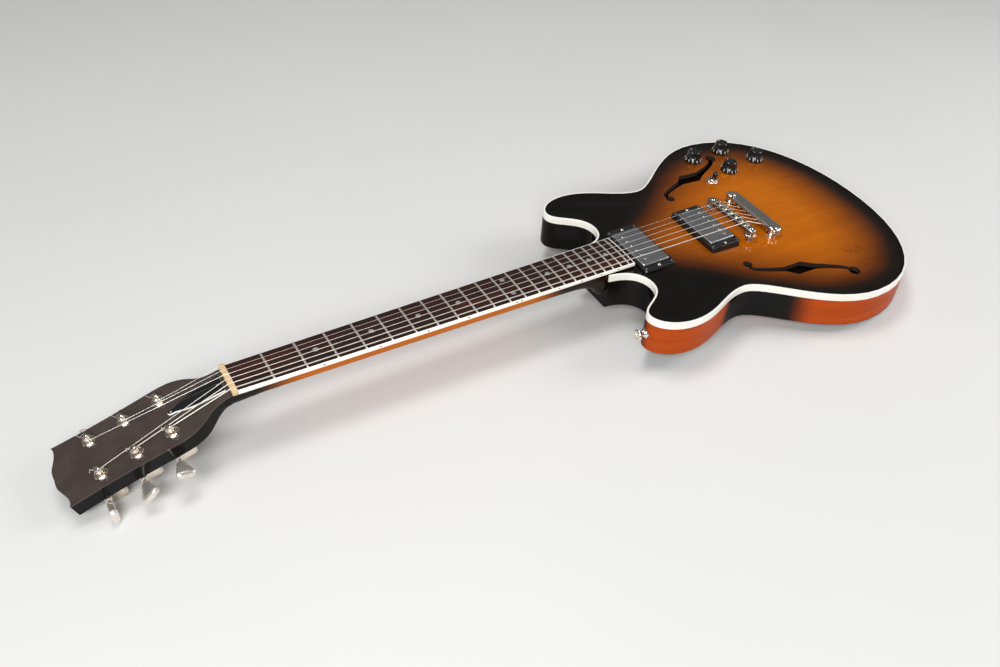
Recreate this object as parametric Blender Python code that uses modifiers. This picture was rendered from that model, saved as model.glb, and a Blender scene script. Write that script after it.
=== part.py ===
"""Semi-hollow electric guitar lying on its back, face up.

Metres. +X runs from the headstock to the tail, +Y from the bass side to the treble side, +Z up.
Everything is built in the neck's frame (origin on the crown of the fretboard at the nut) under one
empty, which is then tilted so that the guitar rests on its tail and its two endmost tuner housings.
"""

import math

import bmesh
import bpy
from mathutils import Matrix, Vector
from mathutils.geometry import interpolate_bezier
from mathutils.kdtree import KDTree

# Gaps
GAP = 0.0003

# Neck and strings
SCALE_LENGTH = 0.62865
FRETS = 22
LAST_FRET = SCALE_LENGTH * (1 - 2 ** (-FRETS / 12))
BOARD_PAST_FRET = 0.00726
BOARD_END = LAST_FRET + BOARD_PAST_FRET
BOARD_RADIUS = 0.3048
BOARD_THICK = 0.0050
NUT_HALF = 0.0215
BOARD_FLARE = 0.01543
BINDING_WIDE = 0.0014
FRET_HALF = 0.0012
FRET_HIGH = 0.0011
NUT_LONG = 0.0054
STRING_RADII = (0.000584, 0.000457, 0.000330, 0.000216, 0.000165, 0.000127)
NUT_SPACING = 0.0071
BRIDGE_SPACING = 0.0104
STRING_OVER_FRET = 0.0005
STRING_AT_BRIDGE = 0.0035
SADDLE_BACK = (0.0060, 0.0047, 0.0034, 0.0038, 0.0027, 0.0016)
WINDING_TURNS = 2

# Headstock
HEAD_ANGLE = math.radians(17)
HEAD_ORIGIN = Vector((-0.006, 0, -0.004))
HEAD_THICK = 0.0135
VENEER = 0.0015
POST_STATIONS = (0.062, 0.097, 0.132)
POST_SIDE = 0.0233

# Body
BODY_ANGLE = math.radians(3.1)
BODY_BEFORE_FRET = 0.00024
BODY_ORIGIN = Vector((LAST_FRET - BODY_BEFORE_FRET, 0, -0.007))
BODY_DEPTH = 0.047
TOP_THICK = 0.006
BINDING_HIGH = 0.0088
BODY_BINDING_WIDE = 0.0023
RIM_WALL = 0.008
BLOCK_HALF = 0.050
FLOOR_THICK = 0.0085
NECK_END = -0.030
TENON_HALF = 0.021
TENON_DEEP = 0.034
TENON_END = 0.0070

# Truss rod in the neck, from the nut's end to short of the heel
ROD_START = -0.0160
ROD_Z = -0.0132
ROD_RADIUS = 0.0022
ROD_BEFORE_HEEL = 0.0377
CHANNEL_BEFORE_HEEL = 0.0177
CHANNEL_ROOM = 0.0005

# Half of the body's outline: knot, handle, handle, knot for each span, and its number of steps
BODY_SPANS = (
    (((-0.030, 0.0315), (-0.008, 0.0325), (0.0085, 0.042), (0.0085, 0.062)), 5),
    (((0.0085, 0.062), (0.0085, 0.090), (-0.031, 0.092), (-0.031, 0.111)), 5),
    (((-0.031, 0.111), (-0.031, 0.126), (-0.012, 0.141), (0.0155, 0.141)), 5),
    (((0.0155, 0.141), (0.053, 0.141), (0.079, 0.114), (0.110, 0.114)), 5),
    (((0.110, 0.114), (0.142, 0.114), (0.188, 0.191), (0.262, 0.191)), 6),
    (((0.262, 0.191), (0.352, 0.191), (0.404, 0.108), (0.404, 0.0)), 8),
)

# Half of the headstock's outline, along its face from the nut
HEAD_SPANS = (
    (((0.0005, 0.0206), (0.012, 0.0206), (0.018, 0.0215), (0.0255, 0.0275)), 4),
    (((0.0255, 0.0275), (0.034, 0.0343), (0.042, 0.0405), (0.060, 0.0405)), 4),
    (((0.060, 0.0405), (0.085, 0.0400), (0.115, 0.0373), (0.166, 0.0402)), 2),
    (((0.166, 0.0402), (0.1632, 0.034), (0.1655, 0.0265), (0.1705, 0.0150)), 3),
    (((0.1705, 0.0150), (0.1722, 0.0105), (0.1718, 0.005), (0.1715, 0.0)), 2),
)

# Sound hole, bass side mirrored: its round eyes as centre and radius, and the stem between them as
# points of its middle line with the widths toward the rim and toward the strings
UPPER_EYE = (0.1420, 0.0797, 0.0060)
LOWER_EYE = (0.2633, 0.1460, 0.0080)
STEM = (
    (0.1404, 0.0868, 0.0032, 0.0032),
    (0.1442, 0.0918, 0.0030, 0.0030),
    (0.1520, 0.0960, 0.0032, 0.0032),
    (0.1650, 0.1020, 0.0036, 0.0037),
    (0.1800, 0.1077, 0.0042, 0.0048),
    (0.1925, 0.1115, 0.0118, 0.0088),
    (0.2070, 0.1140, 0.0088, 0.0118),
    (0.2200, 0.1178, 0.0054, 0.0062),
    (0.2390, 0.1262, 0.0040, 0.0042),
    (0.2520, 0.1335, 0.0036, 0.0036),
    (0.2590, 0.1388, 0.0034, 0.0034),
)

# Hardware on the top, in the body's plane
BRIDGE_PAST_SCALE = 0.00185
BRIDGE_X = SCALE_LENGTH - BODY_ORIGIN.x + BRIDGE_PAST_SCALE
PICKUP_TO_BRIDGE = 0.0413
NECK_PICKUP = 0.0354
BRIDGE_PICKUP = BRIDGE_X - PICKUP_TO_BRIDGE
RING_HALF = (0.0225, 0.0445)
RING_CORNER = 0.004
COVER_HALF = (0.0194, 0.0350)
CAVITY_HALF = (0.0205, 0.0415)
CAVITY_DEEP = 0.030
BRIDGE_SLANT = math.radians(2.5)
BRIDGE_POST = 0.037
STRINGS_OVER_TOP = STRING_AT_BRIDGE - BODY_ORIGIN.z + (SCALE_LENGTH - BODY_ORIGIN.x) * math.tan(BODY_ANGLE)
BAR_UNDER_STRINGS = 0.00387
BRIDGE_BAR_HIGH = STRINGS_OVER_TOP - BAR_UNDER_STRINGS
BRIDGE_BAR_LOW = BRIDGE_BAR_HIGH - 0.0070
BRIDGE_TO_TAIL = 0.0345
TAIL_STUD = (BRIDGE_X + BRIDGE_TO_TAIL, 0.042)
TAIL_BAR_BACK = 0.0150
TAIL_BAR_LOW = 0.0042
TAIL_BAR_HIGH = 0.0124
TAIL_HOLE_Z = 0.0080
KNOBS = ((0.2355, 0.151), (0.2905, 0.157), (0.268, 0.1095), (0.3255, 0.121))
TOGGLE = (0.2265, 0.0955)
LEVER_LEAN = math.radians(14)
LEVER_PIVOT = -0.004
JACK_X = 0.262
JACK_Z = -0.027
STRAP_Z = -0.025
CONTROL_HALF = (0.050, 0.033)
CONTROL_CENTRE = (0.277, 0.128)

# Tuners: the worm lies beyond the wheel, toward the tip
WHEEL_TEETH = 14
WHEEL_PITCH = 0.0060
WORM_OFFSET = 0.0090
WORM_LEAD = 2 * math.pi * WHEEL_PITCH / WHEEL_TEETH
WORM_Z = -0.0220
HOUSING_DEEP = 0.0145
BUTTON_TILTS = (-28, 20, 74, 74, 30, 26)


# Scene, frames and materials

def clear_scene():
    for item in list(bpy.data.objects):
        bpy.data.objects.remove(item, do_unlink=True)


def make_collections():
    shown = bpy.data.collections.new("semi_hollow_guitar")
    hidden = bpy.data.collections.new("cutters")
    bpy.context.scene.collection.children.link(shown)
    bpy.context.scene.collection.children.link(hidden)
    hidden.hide_render = True
    return shown, hidden


def make_empty(name, parent, location, turn):
    empty = bpy.data.objects.new(name, None)
    empty.empty_display_size = 0.02
    empty.parent = parent
    empty.location = location
    empty.rotation_euler = (0, turn, 0)
    parts.objects.link(empty)
    return empty


def make_material(name, colour, roughness, metallic=0.0):
    material = bpy.data.materials.new(name)
    material.use_nodes = True
    shader = material.node_tree.nodes["Principled BSDF"]
    shader.inputs["Base Color"].default_value = (*colour, 1)
    shader.inputs["Roughness"].default_value = roughness
    shader.inputs["Metallic"].default_value = metallic
    material.diffuse_color = (*colour, 1)
    return material


LOOKS = {
    "orange_wood": ((0.42, 0.13, 0.03), 0.25, 0.0),
    "burst_top": ((0.55, 0.20, 0.03), 0.18, 0.0),
    "cream": ((0.85, 0.78, 0.62), 0.35, 0.0),
    "neck_wood": ((0.28, 0.10, 0.03), 0.30, 0.0),
    "rosewood": ((0.07, 0.025, 0.015), 0.55, 0.0),
    "bone": ((0.80, 0.68, 0.48), 0.45, 0.0),
    "black": ((0.012, 0.012, 0.013), 0.35, 0.0),
    "nickel": ((0.72, 0.70, 0.66), 0.18, 1.0),
    "steel": ((0.55, 0.55, 0.56), 0.30, 1.0),
    "bronze": ((0.62, 0.60, 0.56), 0.30, 1.0),
}


def dress(item, look):
    colour, roughness, metallic = LOOKS[look]
    item.data.materials.clear()
    item.data.materials.append(make_material(item.name, colour, roughness, metallic))


# Frames as matrices, for points that one piece takes from another's plane

BODY_MATRIX = Matrix.Translation(BODY_ORIGIN) @ Matrix.Rotation(BODY_ANGLE, 4, "Y")
HEAD_MATRIX = Matrix.Translation(HEAD_ORIGIN) @ Matrix.Rotation(-HEAD_ANGLE, 4, "Y")


def body_top_at(x):
    """Height of the body's top plane in the neck's frame."""
    return BODY_ORIGIN.z - (x - BODY_ORIGIN.x) * math.tan(BODY_ANGLE)


def crown(y):
    """Height of the fretboard's rounded top beside its middle line."""
    return -y * y / (2 * BOARD_RADIUS)


def board_half(x):
    return NUT_HALF + BOARD_FLARE * max(x, 0)


def fret_x(number):
    return SCALE_LENGTH * (1 - 2 ** (-number / 12))


# Outlines

def bezier_half(spans):
    """Points along one half of an outline, from spans of a knot, two handles and a knot."""
    points = []
    for knots, steps in spans:
        corners = [Vector((x, y, 0)) for x, y in knots]
        run = interpolate_bezier(*corners, steps + 1)
        points += [Vector((p.x, p.y)) for p in run[:-1]]
    last = spans[-1][0][-1]
    points.append(Vector(last))
    return points


def inset_half(points, amount):
    """Moves an open run of outline points inward, square to the run. Inward is toward its right."""
    moved = []
    for index, point in enumerate(points):
        before = points[max(index - 1, 0)]
        after = points[min(index + 1, len(points) - 1)]
        along = (after - before).normalized()
        moved.append(point + Vector((along.y, -along.x)) * amount)
    return moved


def both_halves(half):
    """A closed outline from its +Y half, which ends on the middle line."""
    mirrored = [Vector((p.x, -p.y)) for p in reversed(half[:-1])]
    return half[:-1] + [Vector((half[-1].x, 0))] + mirrored


def body_half(inset=0.0):
    return inset_half(bezier_half(BODY_SPANS), inset)


def body_outline(inset=0.0):
    return both_halves(body_half(inset))


def rounded_rectangle(half_x, half_y, corner, steps=3, centre=(0, 0)):
    points = []
    for quarter in range(4):
        start = quarter * math.pi / 2
        side_x = 1 if quarter in (0, 3) else -1
        side_y = 1 if quarter in (0, 1) else -1
        for step in range(steps + 1):
            angle = start + step * math.pi / 2 / steps
            x = centre[0] + side_x * (half_x - corner) + corner * math.cos(angle)
            y = centre[1] + side_y * (half_y - corner) + corner * math.sin(angle)
            points.append(Vector((x, y)))
    return points


def circle(radius, centre=(0, 0), steps=16):
    turns = [step * 2 * math.pi / steps for step in range(steps)]
    return [Vector((centre[0] + radius * math.cos(t), centre[1] + radius * math.sin(t))) for t in turns]


def shrink(points, amount, centre=(0, 0)):
    """Insets a convex outline about its centre, by the same amount along both axes."""
    moved = []
    for point in points:
        x = point.x - centre[0]
        y = point.y - centre[1]
        moved.append(Vector((
            centre[0] + math.copysign(max(abs(x) - amount, 0), x),
            centre[1] + math.copysign(max(abs(y) - amount, 0), y),
        )))
    return moved


def eye_arc(eye, start, end, steps):
    """Points round an eye, clockwise, from beside one edge of the stem to beside the other."""
    centre = Vector(eye[:2])
    first = math.atan2(start.y - centre.y, start.x - centre.x)
    last = math.atan2(end.y - centre.y, end.x - centre.x)
    sweep = (first - last) % (2 * math.pi)
    turns = [first - sweep * step / steps for step in range(steps + 1)]
    return [centre + eye[2] * Vector((math.cos(turn), math.sin(turn))) for turn in turns]


def sound_hole(eye_steps=8):
    """Closed outline of the treble side's sound hole: the stem's two edges, joined round both eyes."""
    middle = [Vector((x, y)) for x, y, _, _ in STEM]
    outer = []
    inner = []
    for index, (_, _, to_rim, to_strings) in enumerate(STEM):
        before = middle[max(index - 1, 0)]
        after = middle[min(index + 1, len(middle) - 1)]
        along = (after - before).normalized()
        across = Vector((-along.y, along.x))
        outer.append(middle[index] + across * to_rim)
        inner.append(middle[index] - across * to_strings)
    lower = eye_arc(LOWER_EYE, outer[-1], inner[-1], eye_steps)
    upper = eye_arc(UPPER_EYE, inner[0], outer[0], eye_steps)
    return outer + lower + list(reversed(inner)) + upper


# Meshes and objects

def add_object(name, data, parent=None, location=(0, 0, 0), rotation=(0, 0, 0), hidden=False):
    item = bpy.data.objects.new(name, data)
    item.parent = parent
    item.location = location
    item.rotation_euler = rotation
    (cutters if hidden else parts).objects.link(item)
    if hidden:
        item.hide_render = True
        item.display_type = "WIRE"
    return item


def mesh_from(name, work):
    bmesh.ops.recalc_face_normals(work, faces=work.faces)
    mesh = bpy.data.meshes.new(name)
    work.to_mesh(mesh)
    work.free()
    return mesh


def loft(name, rings, closed=False):
    """Skins rings of equal counts of points. A closed loft joins its last ring to its first."""
    work = bmesh.new()
    rows = [[work.verts.new(point) for point in ring] for ring in rings]
    count = len(rings[0])
    pairs = list(zip(rows, rows[1:]))
    if closed:
        pairs.append((rows[-1], rows[0]))
    for first, second in pairs:
        for index in range(count):
            after = (index + 1) % count
            work.faces.new((first[index], first[after], second[after], second[index]))
    if not closed:
        work.faces.new(rows[0])
        work.faces.new(rows[-1])
    return mesh_from(name, work)


def flat(points, z):
    return [Vector((p.x, p.y, z)) for p in points]


def plate(name, loops, low, high):
    """A flat sheet with holes, filled as a 2D curve and made a mesh with its caps welded."""
    curve = bpy.data.curves.new(name, "CURVE")
    curve.dimensions = "2D"
    curve.fill_mode = "BOTH"
    curve.extrude = (high - low) / 2
    for loop in loops:
        spline = curve.splines.new("POLY")
        spline.points.add(len(loop) - 1)
        for knot, point in zip(spline.points, loop):
            knot.co = (point.x, point.y, 0, 1)
        spline.use_cyclic_u = True
    holder = bpy.data.objects.new(name, curve)
    cutters.objects.link(holder)
    bpy.context.view_layer.update()
    mesh = bpy.data.meshes.new_from_object(holder.evaluated_get(bpy.context.evaluated_depsgraph_get()))
    bpy.data.objects.remove(holder, do_unlink=True)
    bpy.data.curves.remove(curve)
    work = bmesh.new()
    work.from_mesh(mesh)
    bmesh.ops.remove_doubles(work, verts=work.verts, dist=0.000001)
    bmesh.ops.translate(work, verts=work.verts, vec=(0, 0, (low + high) / 2))
    bpy.data.meshes.remove(mesh)
    return mesh_from(name, work)


def tube(name, route, radius, resolution=1):
    """A round wire along a list of points, made a mesh with its caps welded."""
    curve = bpy.data.curves.new(name, "CURVE")
    curve.dimensions = "3D"
    curve.bevel_depth = radius
    curve.bevel_resolution = resolution
    curve.use_fill_caps = True
    spline = curve.splines.new("POLY")
    spline.points.add(len(route) - 1)
    for knot, point in zip(spline.points, route):
        knot.co = (*point, 1)
    holder = bpy.data.objects.new(name, curve)
    cutters.objects.link(holder)
    bpy.context.view_layer.update()
    mesh = bpy.data.meshes.new_from_object(holder.evaluated_get(bpy.context.evaluated_depsgraph_get()))
    bpy.data.objects.remove(holder, do_unlink=True)
    bpy.data.curves.remove(curve)
    work = bmesh.new()
    work.from_mesh(mesh)
    bmesh.ops.remove_doubles(work, verts=work.verts, dist=0.000001)
    bpy.data.meshes.remove(mesh)
    return mesh_from(name, work)


def turned(name, profile, steps=20, **place):
    """A turned shape: the profile runs down its outer side, top to bottom, and turns about Z."""
    mesh = bpy.data.meshes.new(name)
    mesh.from_pydata([(x, 0, z) for x, z in profile], [(i, i + 1) for i in range(len(profile) - 1)], [])
    item = add_object(name, mesh, **place)
    screw = item.modifiers.new("turn", "SCREW")
    screw.steps = steps
    screw.render_steps = steps
    screw.use_merge_vertices = True
    screw.merge_threshold = 0.00001
    screw.use_smooth_shade = True
    return item


def cylinder_mesh(name, spots, low, high, steps=16):
    """Upright cylinders at spots of (x, y, radius)."""
    work = bmesh.new()
    for x, y, radius in spots:
        middle = Matrix.Translation((x, y, (low + high) / 2))
        bmesh.ops.create_cone(
            work, cap_ends=True, segments=steps, radius1=radius, radius2=radius,
            depth=high - low, matrix=middle,
        )
    return mesh_from(name, work)


def box_mesh(name, low, high):
    work = bmesh.new()
    size = Vector(high) - Vector(low)
    middle = (Vector(high) + Vector(low)) / 2
    matrix = Matrix.Translation(middle) @ Matrix.Diagonal((*size, 1))
    bmesh.ops.create_cube(work, size=1, matrix=matrix)
    return mesh_from(name, work)


def boolean(item, other, operation):
    modifier = item.modifiers.new(other.name, "BOOLEAN")
    modifier.operation = operation
    modifier.solver = "EXACT"
    modifier.object = other


def cut(item, mesh, **place):
    boolean(item, add_object(mesh.name, mesh, hidden=True, **place), "DIFFERENCE")


def join(item, mesh, **place):
    boolean(item, add_object(mesh.name, mesh, hidden=True, **place), "UNION")


# Body

def build_body_back():
    back_edge = 0.0015
    shoulder = -BINDING_HIGH - GAP
    under_top = -TOP_THICK - GAP
    step_in = BODY_BINDING_WIDE + GAP
    rings = [
        flat(body_outline(back_edge), -BODY_DEPTH),
        flat(body_outline(), -BODY_DEPTH + back_edge),
        flat(body_outline(), shoulder),
        flat(body_outline(step_in), shoulder),
        flat(body_outline(step_in), under_top),
    ]
    body = add_object("body_back", loft("body_back", rings), body_plane)
    floor = -BODY_DEPTH + FLOOR_THICK
    inner = [p for p in body_half(RIM_WALL) if p.y > BLOCK_HALF]
    start = Vector((inner[0].x, BLOCK_HALF))
    finish = Vector((inner[-1].x, BLOCK_HALF))
    for side in (-1, 1):
        chamber = [Vector((p.x, p.y * side)) for p in [start] + inner + [finish]]
        cut(body, plate(f"chamber_{side}", [chamber], floor, 0.002), parent=body_plane)
    tenon = (NECK_END - 0.004, -TENON_HALF - GAP, -TENON_DEEP - GAP)
    cut(body, box_mesh("neck_pocket", tenon, (TENON_END + GAP, TENON_HALF + GAP, 0.002)), parent=body_plane)
    for label, middle in (("neck", NECK_PICKUP), ("bridge", BRIDGE_PICKUP)):
        hole = rounded_rectangle(*CAVITY_HALF, 0.003, 2, (middle, 0))
        cut(body, plate(f"{label}_cavity", [hole], -CAVITY_DEEP, 0.002), parent=body_plane)
    cut(body, cylinder_mesh("stud_holes", stud_spots(GAP), -0.026, 0.002, 10), parent=body_plane)
    recess = rounded_rectangle(*CONTROL_HALF, 0.012, 3, CONTROL_CENTRE)
    opening = shrink(recess, 0.006, CONTROL_CENTRE)
    cut(body, plate("cover_recess", [recess], -BODY_DEPTH - 0.002, -BODY_DEPTH + 0.0027), parent=body_plane)
    cut(body, plate("control_opening", [opening], -BODY_DEPTH - 0.002, floor + 0.002), parent=body_plane)
    rim = cylinder_mesh("jack_hole", [(0, 0, 0.0064)], -0.012, 0.012, 12)
    cut(body, rim, parent=body_plane, location=(JACK_X, 0.1865, JACK_Z), rotation=(math.pi / 2, 0, 0))
    for name, spot, turn in strap_places():
        hole = cylinder_mesh(f"{name}_hole", [(0, 0, 0.0021)], -0.0078, 0.004, 10)
        cut(body, hole, parent=body_plane, location=spot, rotation=turn)
    dress(body, "orange_wood")


def stud_spots(margin):
    """Bridge posts and tailpiece studs as (x, y, radius) of the screw that enters the block."""
    shift = BRIDGE_POST * math.sin(BRIDGE_SLANT)
    spots = [(BRIDGE_X - side * shift, side * BRIDGE_POST, 0.0024 + margin) for side in (-1, 1)]
    spots += [(TAIL_STUD[0], side * TAIL_STUD[1], 0.0042 + margin) for side in (-1, 1)]
    return spots


def strap_places():
    """Strap buttons: name, place in the body's plane, and the turn that points their axis outward."""
    horn_x, horn_y = BODY_SPANS[2][0][0]
    tail_x = BODY_SPANS[-1][0][-1][0]
    return (
        ("strap_button_horn", (horn_x, -horn_y, STRAP_Z), (0, -math.pi / 2, 0)),
        ("strap_button_tail", (tail_x, 0, STRAP_Z), (0, math.pi / 2, 0)),
    )


def build_body_top():
    half = body_half(BODY_BINDING_WIDE + GAP)
    notch = board_half(BOARD_END) + GAP + 0.0002
    notch_end = (BOARD_END - BODY_ORIGIN.x) / math.cos(BODY_ANGLE) + 0.0009
    kept = [p for p in half if p.y > notch + 0.001 or p.x > 0.1]
    edge = [Vector((notch_end, notch)), Vector((kept[0].x - 0.0004, notch))] + kept
    outline = both_halves(edge)
    treble = sound_hole()
    holes = [treble, [Vector((p.x, -p.y)) for p in treble]]
    for middle in (NECK_PICKUP, BRIDGE_PICKUP):
        holes.append(rounded_rectangle(*CAVITY_HALF, 0.003, 2, (middle, 0)))
    holes += [circle(radius, (x, y), 10) for x, y, radius in stud_spots(GAP)]
    holes += [circle(0.0043, spot, 10) for spot in KNOBS]
    holes.append(circle(0.0062, TOGGLE, 12))
    top = add_object("body_top", plate("body_top", [outline] + holes, -TOP_THICK, 0), body_plane)
    dress(top, "burst_top")


def build_body_binding():
    outer = body_half()
    inner = body_half(BODY_BINDING_WIDE)
    outline = outer + [Vector((p.x, -p.y)) for p in reversed(outer[:-1])]
    outline += [Vector((p.x, -p.y)) for p in inner[:-1]] + list(reversed(inner))
    band = add_object("body_binding", plate("body_binding", [outline], -BINDING_HIGH, 0), body_plane)
    dress(band, "cream")


def build_control_cover():
    outline = rounded_rectangle(CONTROL_HALF[0] - GAP, CONTROL_HALF[1] - GAP, 0.012, 3, CONTROL_CENTRE)
    low = -BODY_DEPTH + 0.0002
    cover = add_object("control_cover", plate("control_cover", [outline], low, low + 0.0022), body_plane)
    dress(cover, "black")


# Neck

def neck_ring(x, half, top, bottom, blend=1.0, lean=0.0):
    """D section: a flat top and a rounded back, leaning forward by lean for each unit of height."""
    points = []
    steps = 8
    for step in range(steps + 1):
        angle = math.pi * step / steps
        y = -half * math.copysign(abs(math.cos(angle)) ** blend, math.cos(angle))
        z = top - (top - bottom) * math.sin(angle) ** blend
        points.append(Vector((x + (z - BODY_ORIGIN.z) * lean, y, z)))
    return points


def heel_face():
    """Where the neck's heel meets the body, along the neck."""
    return (BODY_MATRIX @ Vector((NECK_END - GAP, 0, 0))).x


def build_neck():
    top = -BOARD_THICK - GAP
    face_x = heel_face()
    lean = math.tan(BODY_ANGLE)
    # The nut's end: place, half width, top, bottom and blend
    rings = [
        neck_ring(ROD_START, 0.0202, -0.0100, -0.0212, 0.85),
        neck_ring(-0.0062, 0.0206, -0.0066, -0.0213, 0.85),
        neck_ring(-0.0058, 0.0206, top, -0.0213, 0.85),
        neck_ring(0.0, board_half(0), top, -0.0212, 0.85),
        neck_ring((face_x - 0.1077) / 2, board_half((face_x - 0.1077) / 2), top, -0.0222, 0.88),
    ]
    # The rest, measured back from the heel's face: distance, bottom, blend and share of the heel's lean
    for before, bottom, blend, share in (
        (0.1077, -0.0233, 0.88, 0.0), (0.0417, -0.0245, 0.86, 0.0), (0.0217, -0.0290, 0.82, 0.0),
        (0.0117, -0.0350, 0.78, 0.25), (0.0052, -0.0415, 0.72, 0.6), (0.0, -0.0470, 0.62, 1.0),
    ):
        x = face_x - before
        rings.append(neck_ring(x, board_half(x), top, bottom, blend, share * lean))
    neck = add_object("neck", loft("neck", rings), guitar)
    head = both_halves([Vector((-p.x, p.y)) for p in bezier_half(HEAD_SPANS)])
    under = -VENEER - GAP
    join(neck, plate("head_blank", [head], under - HEAD_THICK, under), parent=head_plane)
    tenon_low = (NECK_END - 0.0012, -TENON_HALF, -TENON_DEEP)
    tenon_high = (TENON_END, TENON_HALF, -TOP_THICK + 0.001)
    join(neck, box_mesh("tenon", tenon_low, tenon_high), parent=body_plane)
    wedge_start = face_x - 0.0008
    wedge_end = BOARD_END - GAP
    rings = []
    for x in (wedge_start, wedge_end):
        half = board_half(x) - 0.0002
        low = body_top_at(x) - TOP_THICK
        corners = ((-half, low), (half, low), (half, top), (-half, top))
        rings.append([Vector((x, y, z)) for y, z in corners])
    join(neck, loft("tongue", rings), parent=guitar)
    pocket = rounded_rectangle(0.014, 0.0068, 0.004, 2, (-0.0205, 0))
    cut(neck, plate("adjuster_pocket", [pocket], -0.0105, 0.002), parent=head_plane)
    channel_long = face_x - CHANNEL_BEFORE_HEEL - ROD_START
    channel = cylinder_mesh("rod_channel", [(0, 0, ROD_RADIUS + CHANNEL_ROOM)], 0, channel_long, 8)
    cut(neck, channel, parent=guitar, location=(ROD_START, 0, ROD_Z), rotation=(0, math.pi / 2, 0))
    spots = [(-station, side * POST_SIDE, 0.0046) for station in POST_STATIONS for side in (-1, 1)]
    cut(neck, cylinder_mesh("tuner_holes", spots, -0.020, 0.002, 10), parent=head_plane)
    dress(neck, "neck_wood")


def build_head_veneer():
    half = bezier_half(HEAD_SPANS)
    outline = both_halves([Vector((-p.x, p.y)) for p in half])
    spots = [(-station, side * POST_SIDE) for station in POST_STATIONS for side in (-1, 1)]
    holes = [circle(0.0046, spot, 10) for spot in spots]
    holes.append(rounded_rectangle(0.014, 0.0068, 0.004, 2, (-0.0205, 0)))
    sheet = plate("headstock_veneer", [outline] + holes, -VENEER, 0)
    veneer = add_object("headstock_veneer", sheet, head_plane)
    dress(veneer, "black")


def board_ring(x, rise):
    """One section of the fretboard: flat underneath, crowned on top, raised between its edges at a fret."""
    half = board_half(x) - BINDING_WIDE - GAP
    steps = 2
    ring = [Vector((x, half, -BOARD_THICK)), Vector((x, half, crown(half)))]
    for step in range(steps + 1):
        y = (half - 0.0006) * (1 - 2 * step / steps)
        ring.append(Vector((x, y, crown(y) + rise)))
    ring += [Vector((x, -half, crown(half))), Vector((x, -half, -BOARD_THICK))]
    return ring


def build_fretboard():
    rings = [board_ring(0, 0)]
    for number in range(1, FRETS + 1):
        middle = fret_x(number)
        for across, rise in ((-1, 0), (0, 1), (1, 0)):
            rings.append(board_ring(middle + across * FRET_HALF, rise * FRET_HIGH))
    rings.append(board_ring(BOARD_END - BINDING_WIDE - GAP, 0))
    board = add_object("fretboard", loft("fretboard", rings), guitar)
    dress(board, "rosewood")


def build_fretboard_binding():
    start = 0.0
    inner_end = BOARD_END - BINDING_WIDE
    across = [1 - 2 * step / 8 for step in range(9)]
    outline = [Vector((start, board_half(start)))]
    outline += [Vector((BOARD_END, board_half(BOARD_END) * part)) for part in across]
    outline += [Vector((start, -board_half(start))), Vector((start, -board_half(start) + BINDING_WIDE))]
    inner_half = board_half(inner_end) - BINDING_WIDE
    outline += [Vector((inner_end, -inner_half * part)) for part in across]
    outline.append(Vector((start, board_half(start) - BINDING_WIDE)))
    mesh = plate("fretboard_binding", [outline], -BOARD_THICK, 0)
    for vertex in mesh.vertices:
        if vertex.co.z > -BOARD_THICK / 2:
            vertex.co.z = crown(vertex.co.y) - 0.00005
    dress(add_object("fretboard_binding", mesh, guitar), "cream")


def string_y(index, spacing):
    return (index - 2.5) * spacing


def nut_height(index):
    """Height of a string's middle where it crosses the nut."""
    y = string_y(index, NUT_SPACING)
    return crown(y) + FRET_HIGH + STRING_OVER_FRET + STRING_RADII[index]


def build_nut():
    """Seen along the neck: a crowned block with a slot for each string."""
    outline = [Vector((-NUT_HALF, -BOARD_THICK)), Vector((-NUT_HALF, 0.0006))]
    for index, radius in enumerate(STRING_RADII):
        y = string_y(index, NUT_SPACING)
        rim = crown(y) + FRET_HIGH + 0.0010
        low = nut_height(index) - radius - GAP
        wide = radius + GAP
        slot = ((y - wide, rim), (y - wide, low), (y + wide, low), (y + wide, rim))
        outline += [Vector(corner) for corner in slot]
    outline += [Vector((NUT_HALF, 0.0006)), Vector((NUT_HALF, -BOARD_THICK))]
    mesh = plate("nut", [outline], 0, NUT_LONG)
    turn = Matrix(((0, 0, 1), (1, 0, 0), (0, 1, 0))).to_euler()
    nut = add_object("nut", mesh, guitar, (-GAP - NUT_LONG, 0, 0), turn)
    dress(nut, "bone")


def build_truss_rod():
    place = {"location": (ROD_START, 0, ROD_Z), "rotation": (0, math.pi / 2, 0)}
    long = heel_face() - ROD_BEFORE_HEEL - ROD_START
    bar = cylinder_mesh("truss_rod", [(0, 0, ROD_RADIUS)], 0.002, long, 8)
    rod = add_object("truss_rod", bar, guitar, **place)
    head = cylinder_mesh("truss_rod_nut", [(0, 0, 0.0036)], -0.0060, 0.0026, 6)
    join(rod, head, parent=guitar, **place)
    dress(rod, "steel")


def build_truss_rod_cover():
    """Bell shape: wide at the nut, drawn in, then a round tip."""
    spans = (
        (((0.0030, 0.0120), (0.012, 0.0112), (0.020, 0.0110), (0.030, 0.0098)), 3),
        (((0.030, 0.0098), (0.040, 0.0086), (0.047, 0.0050), (0.052, 0.0034)), 3),
        (((0.052, 0.0034), (0.056, 0.0034), (0.0590, 0.0026), (0.0590, 0.0)), 3),
    )
    outline = both_halves([Vector((-p.x, p.y)) for p in bezier_half(spans)])
    cover = add_object("truss_rod_cover", plate("truss_rod_cover", [outline], GAP, 0.0020), head_plane)
    dress(cover, "black")


# Pickups, bridge and tailpiece

def string_point(index, x):
    """A string's middle at x in the neck's frame, between the nut and the saddle."""
    share = x / saddle_x(index)
    y = string_y(index, NUT_SPACING) * (1 - share) + string_y(index, BRIDGE_SPACING) * share
    z = nut_height(index) * (1 - share) + saddle_height(index) * share
    return Vector((x, y, z))


def saddle_x(index):
    return SCALE_LENGTH + SADDLE_BACK[index]


def saddle_height(index):
    return STRING_AT_BRIDGE + crown(string_y(index, BRIDGE_SPACING))


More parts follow.
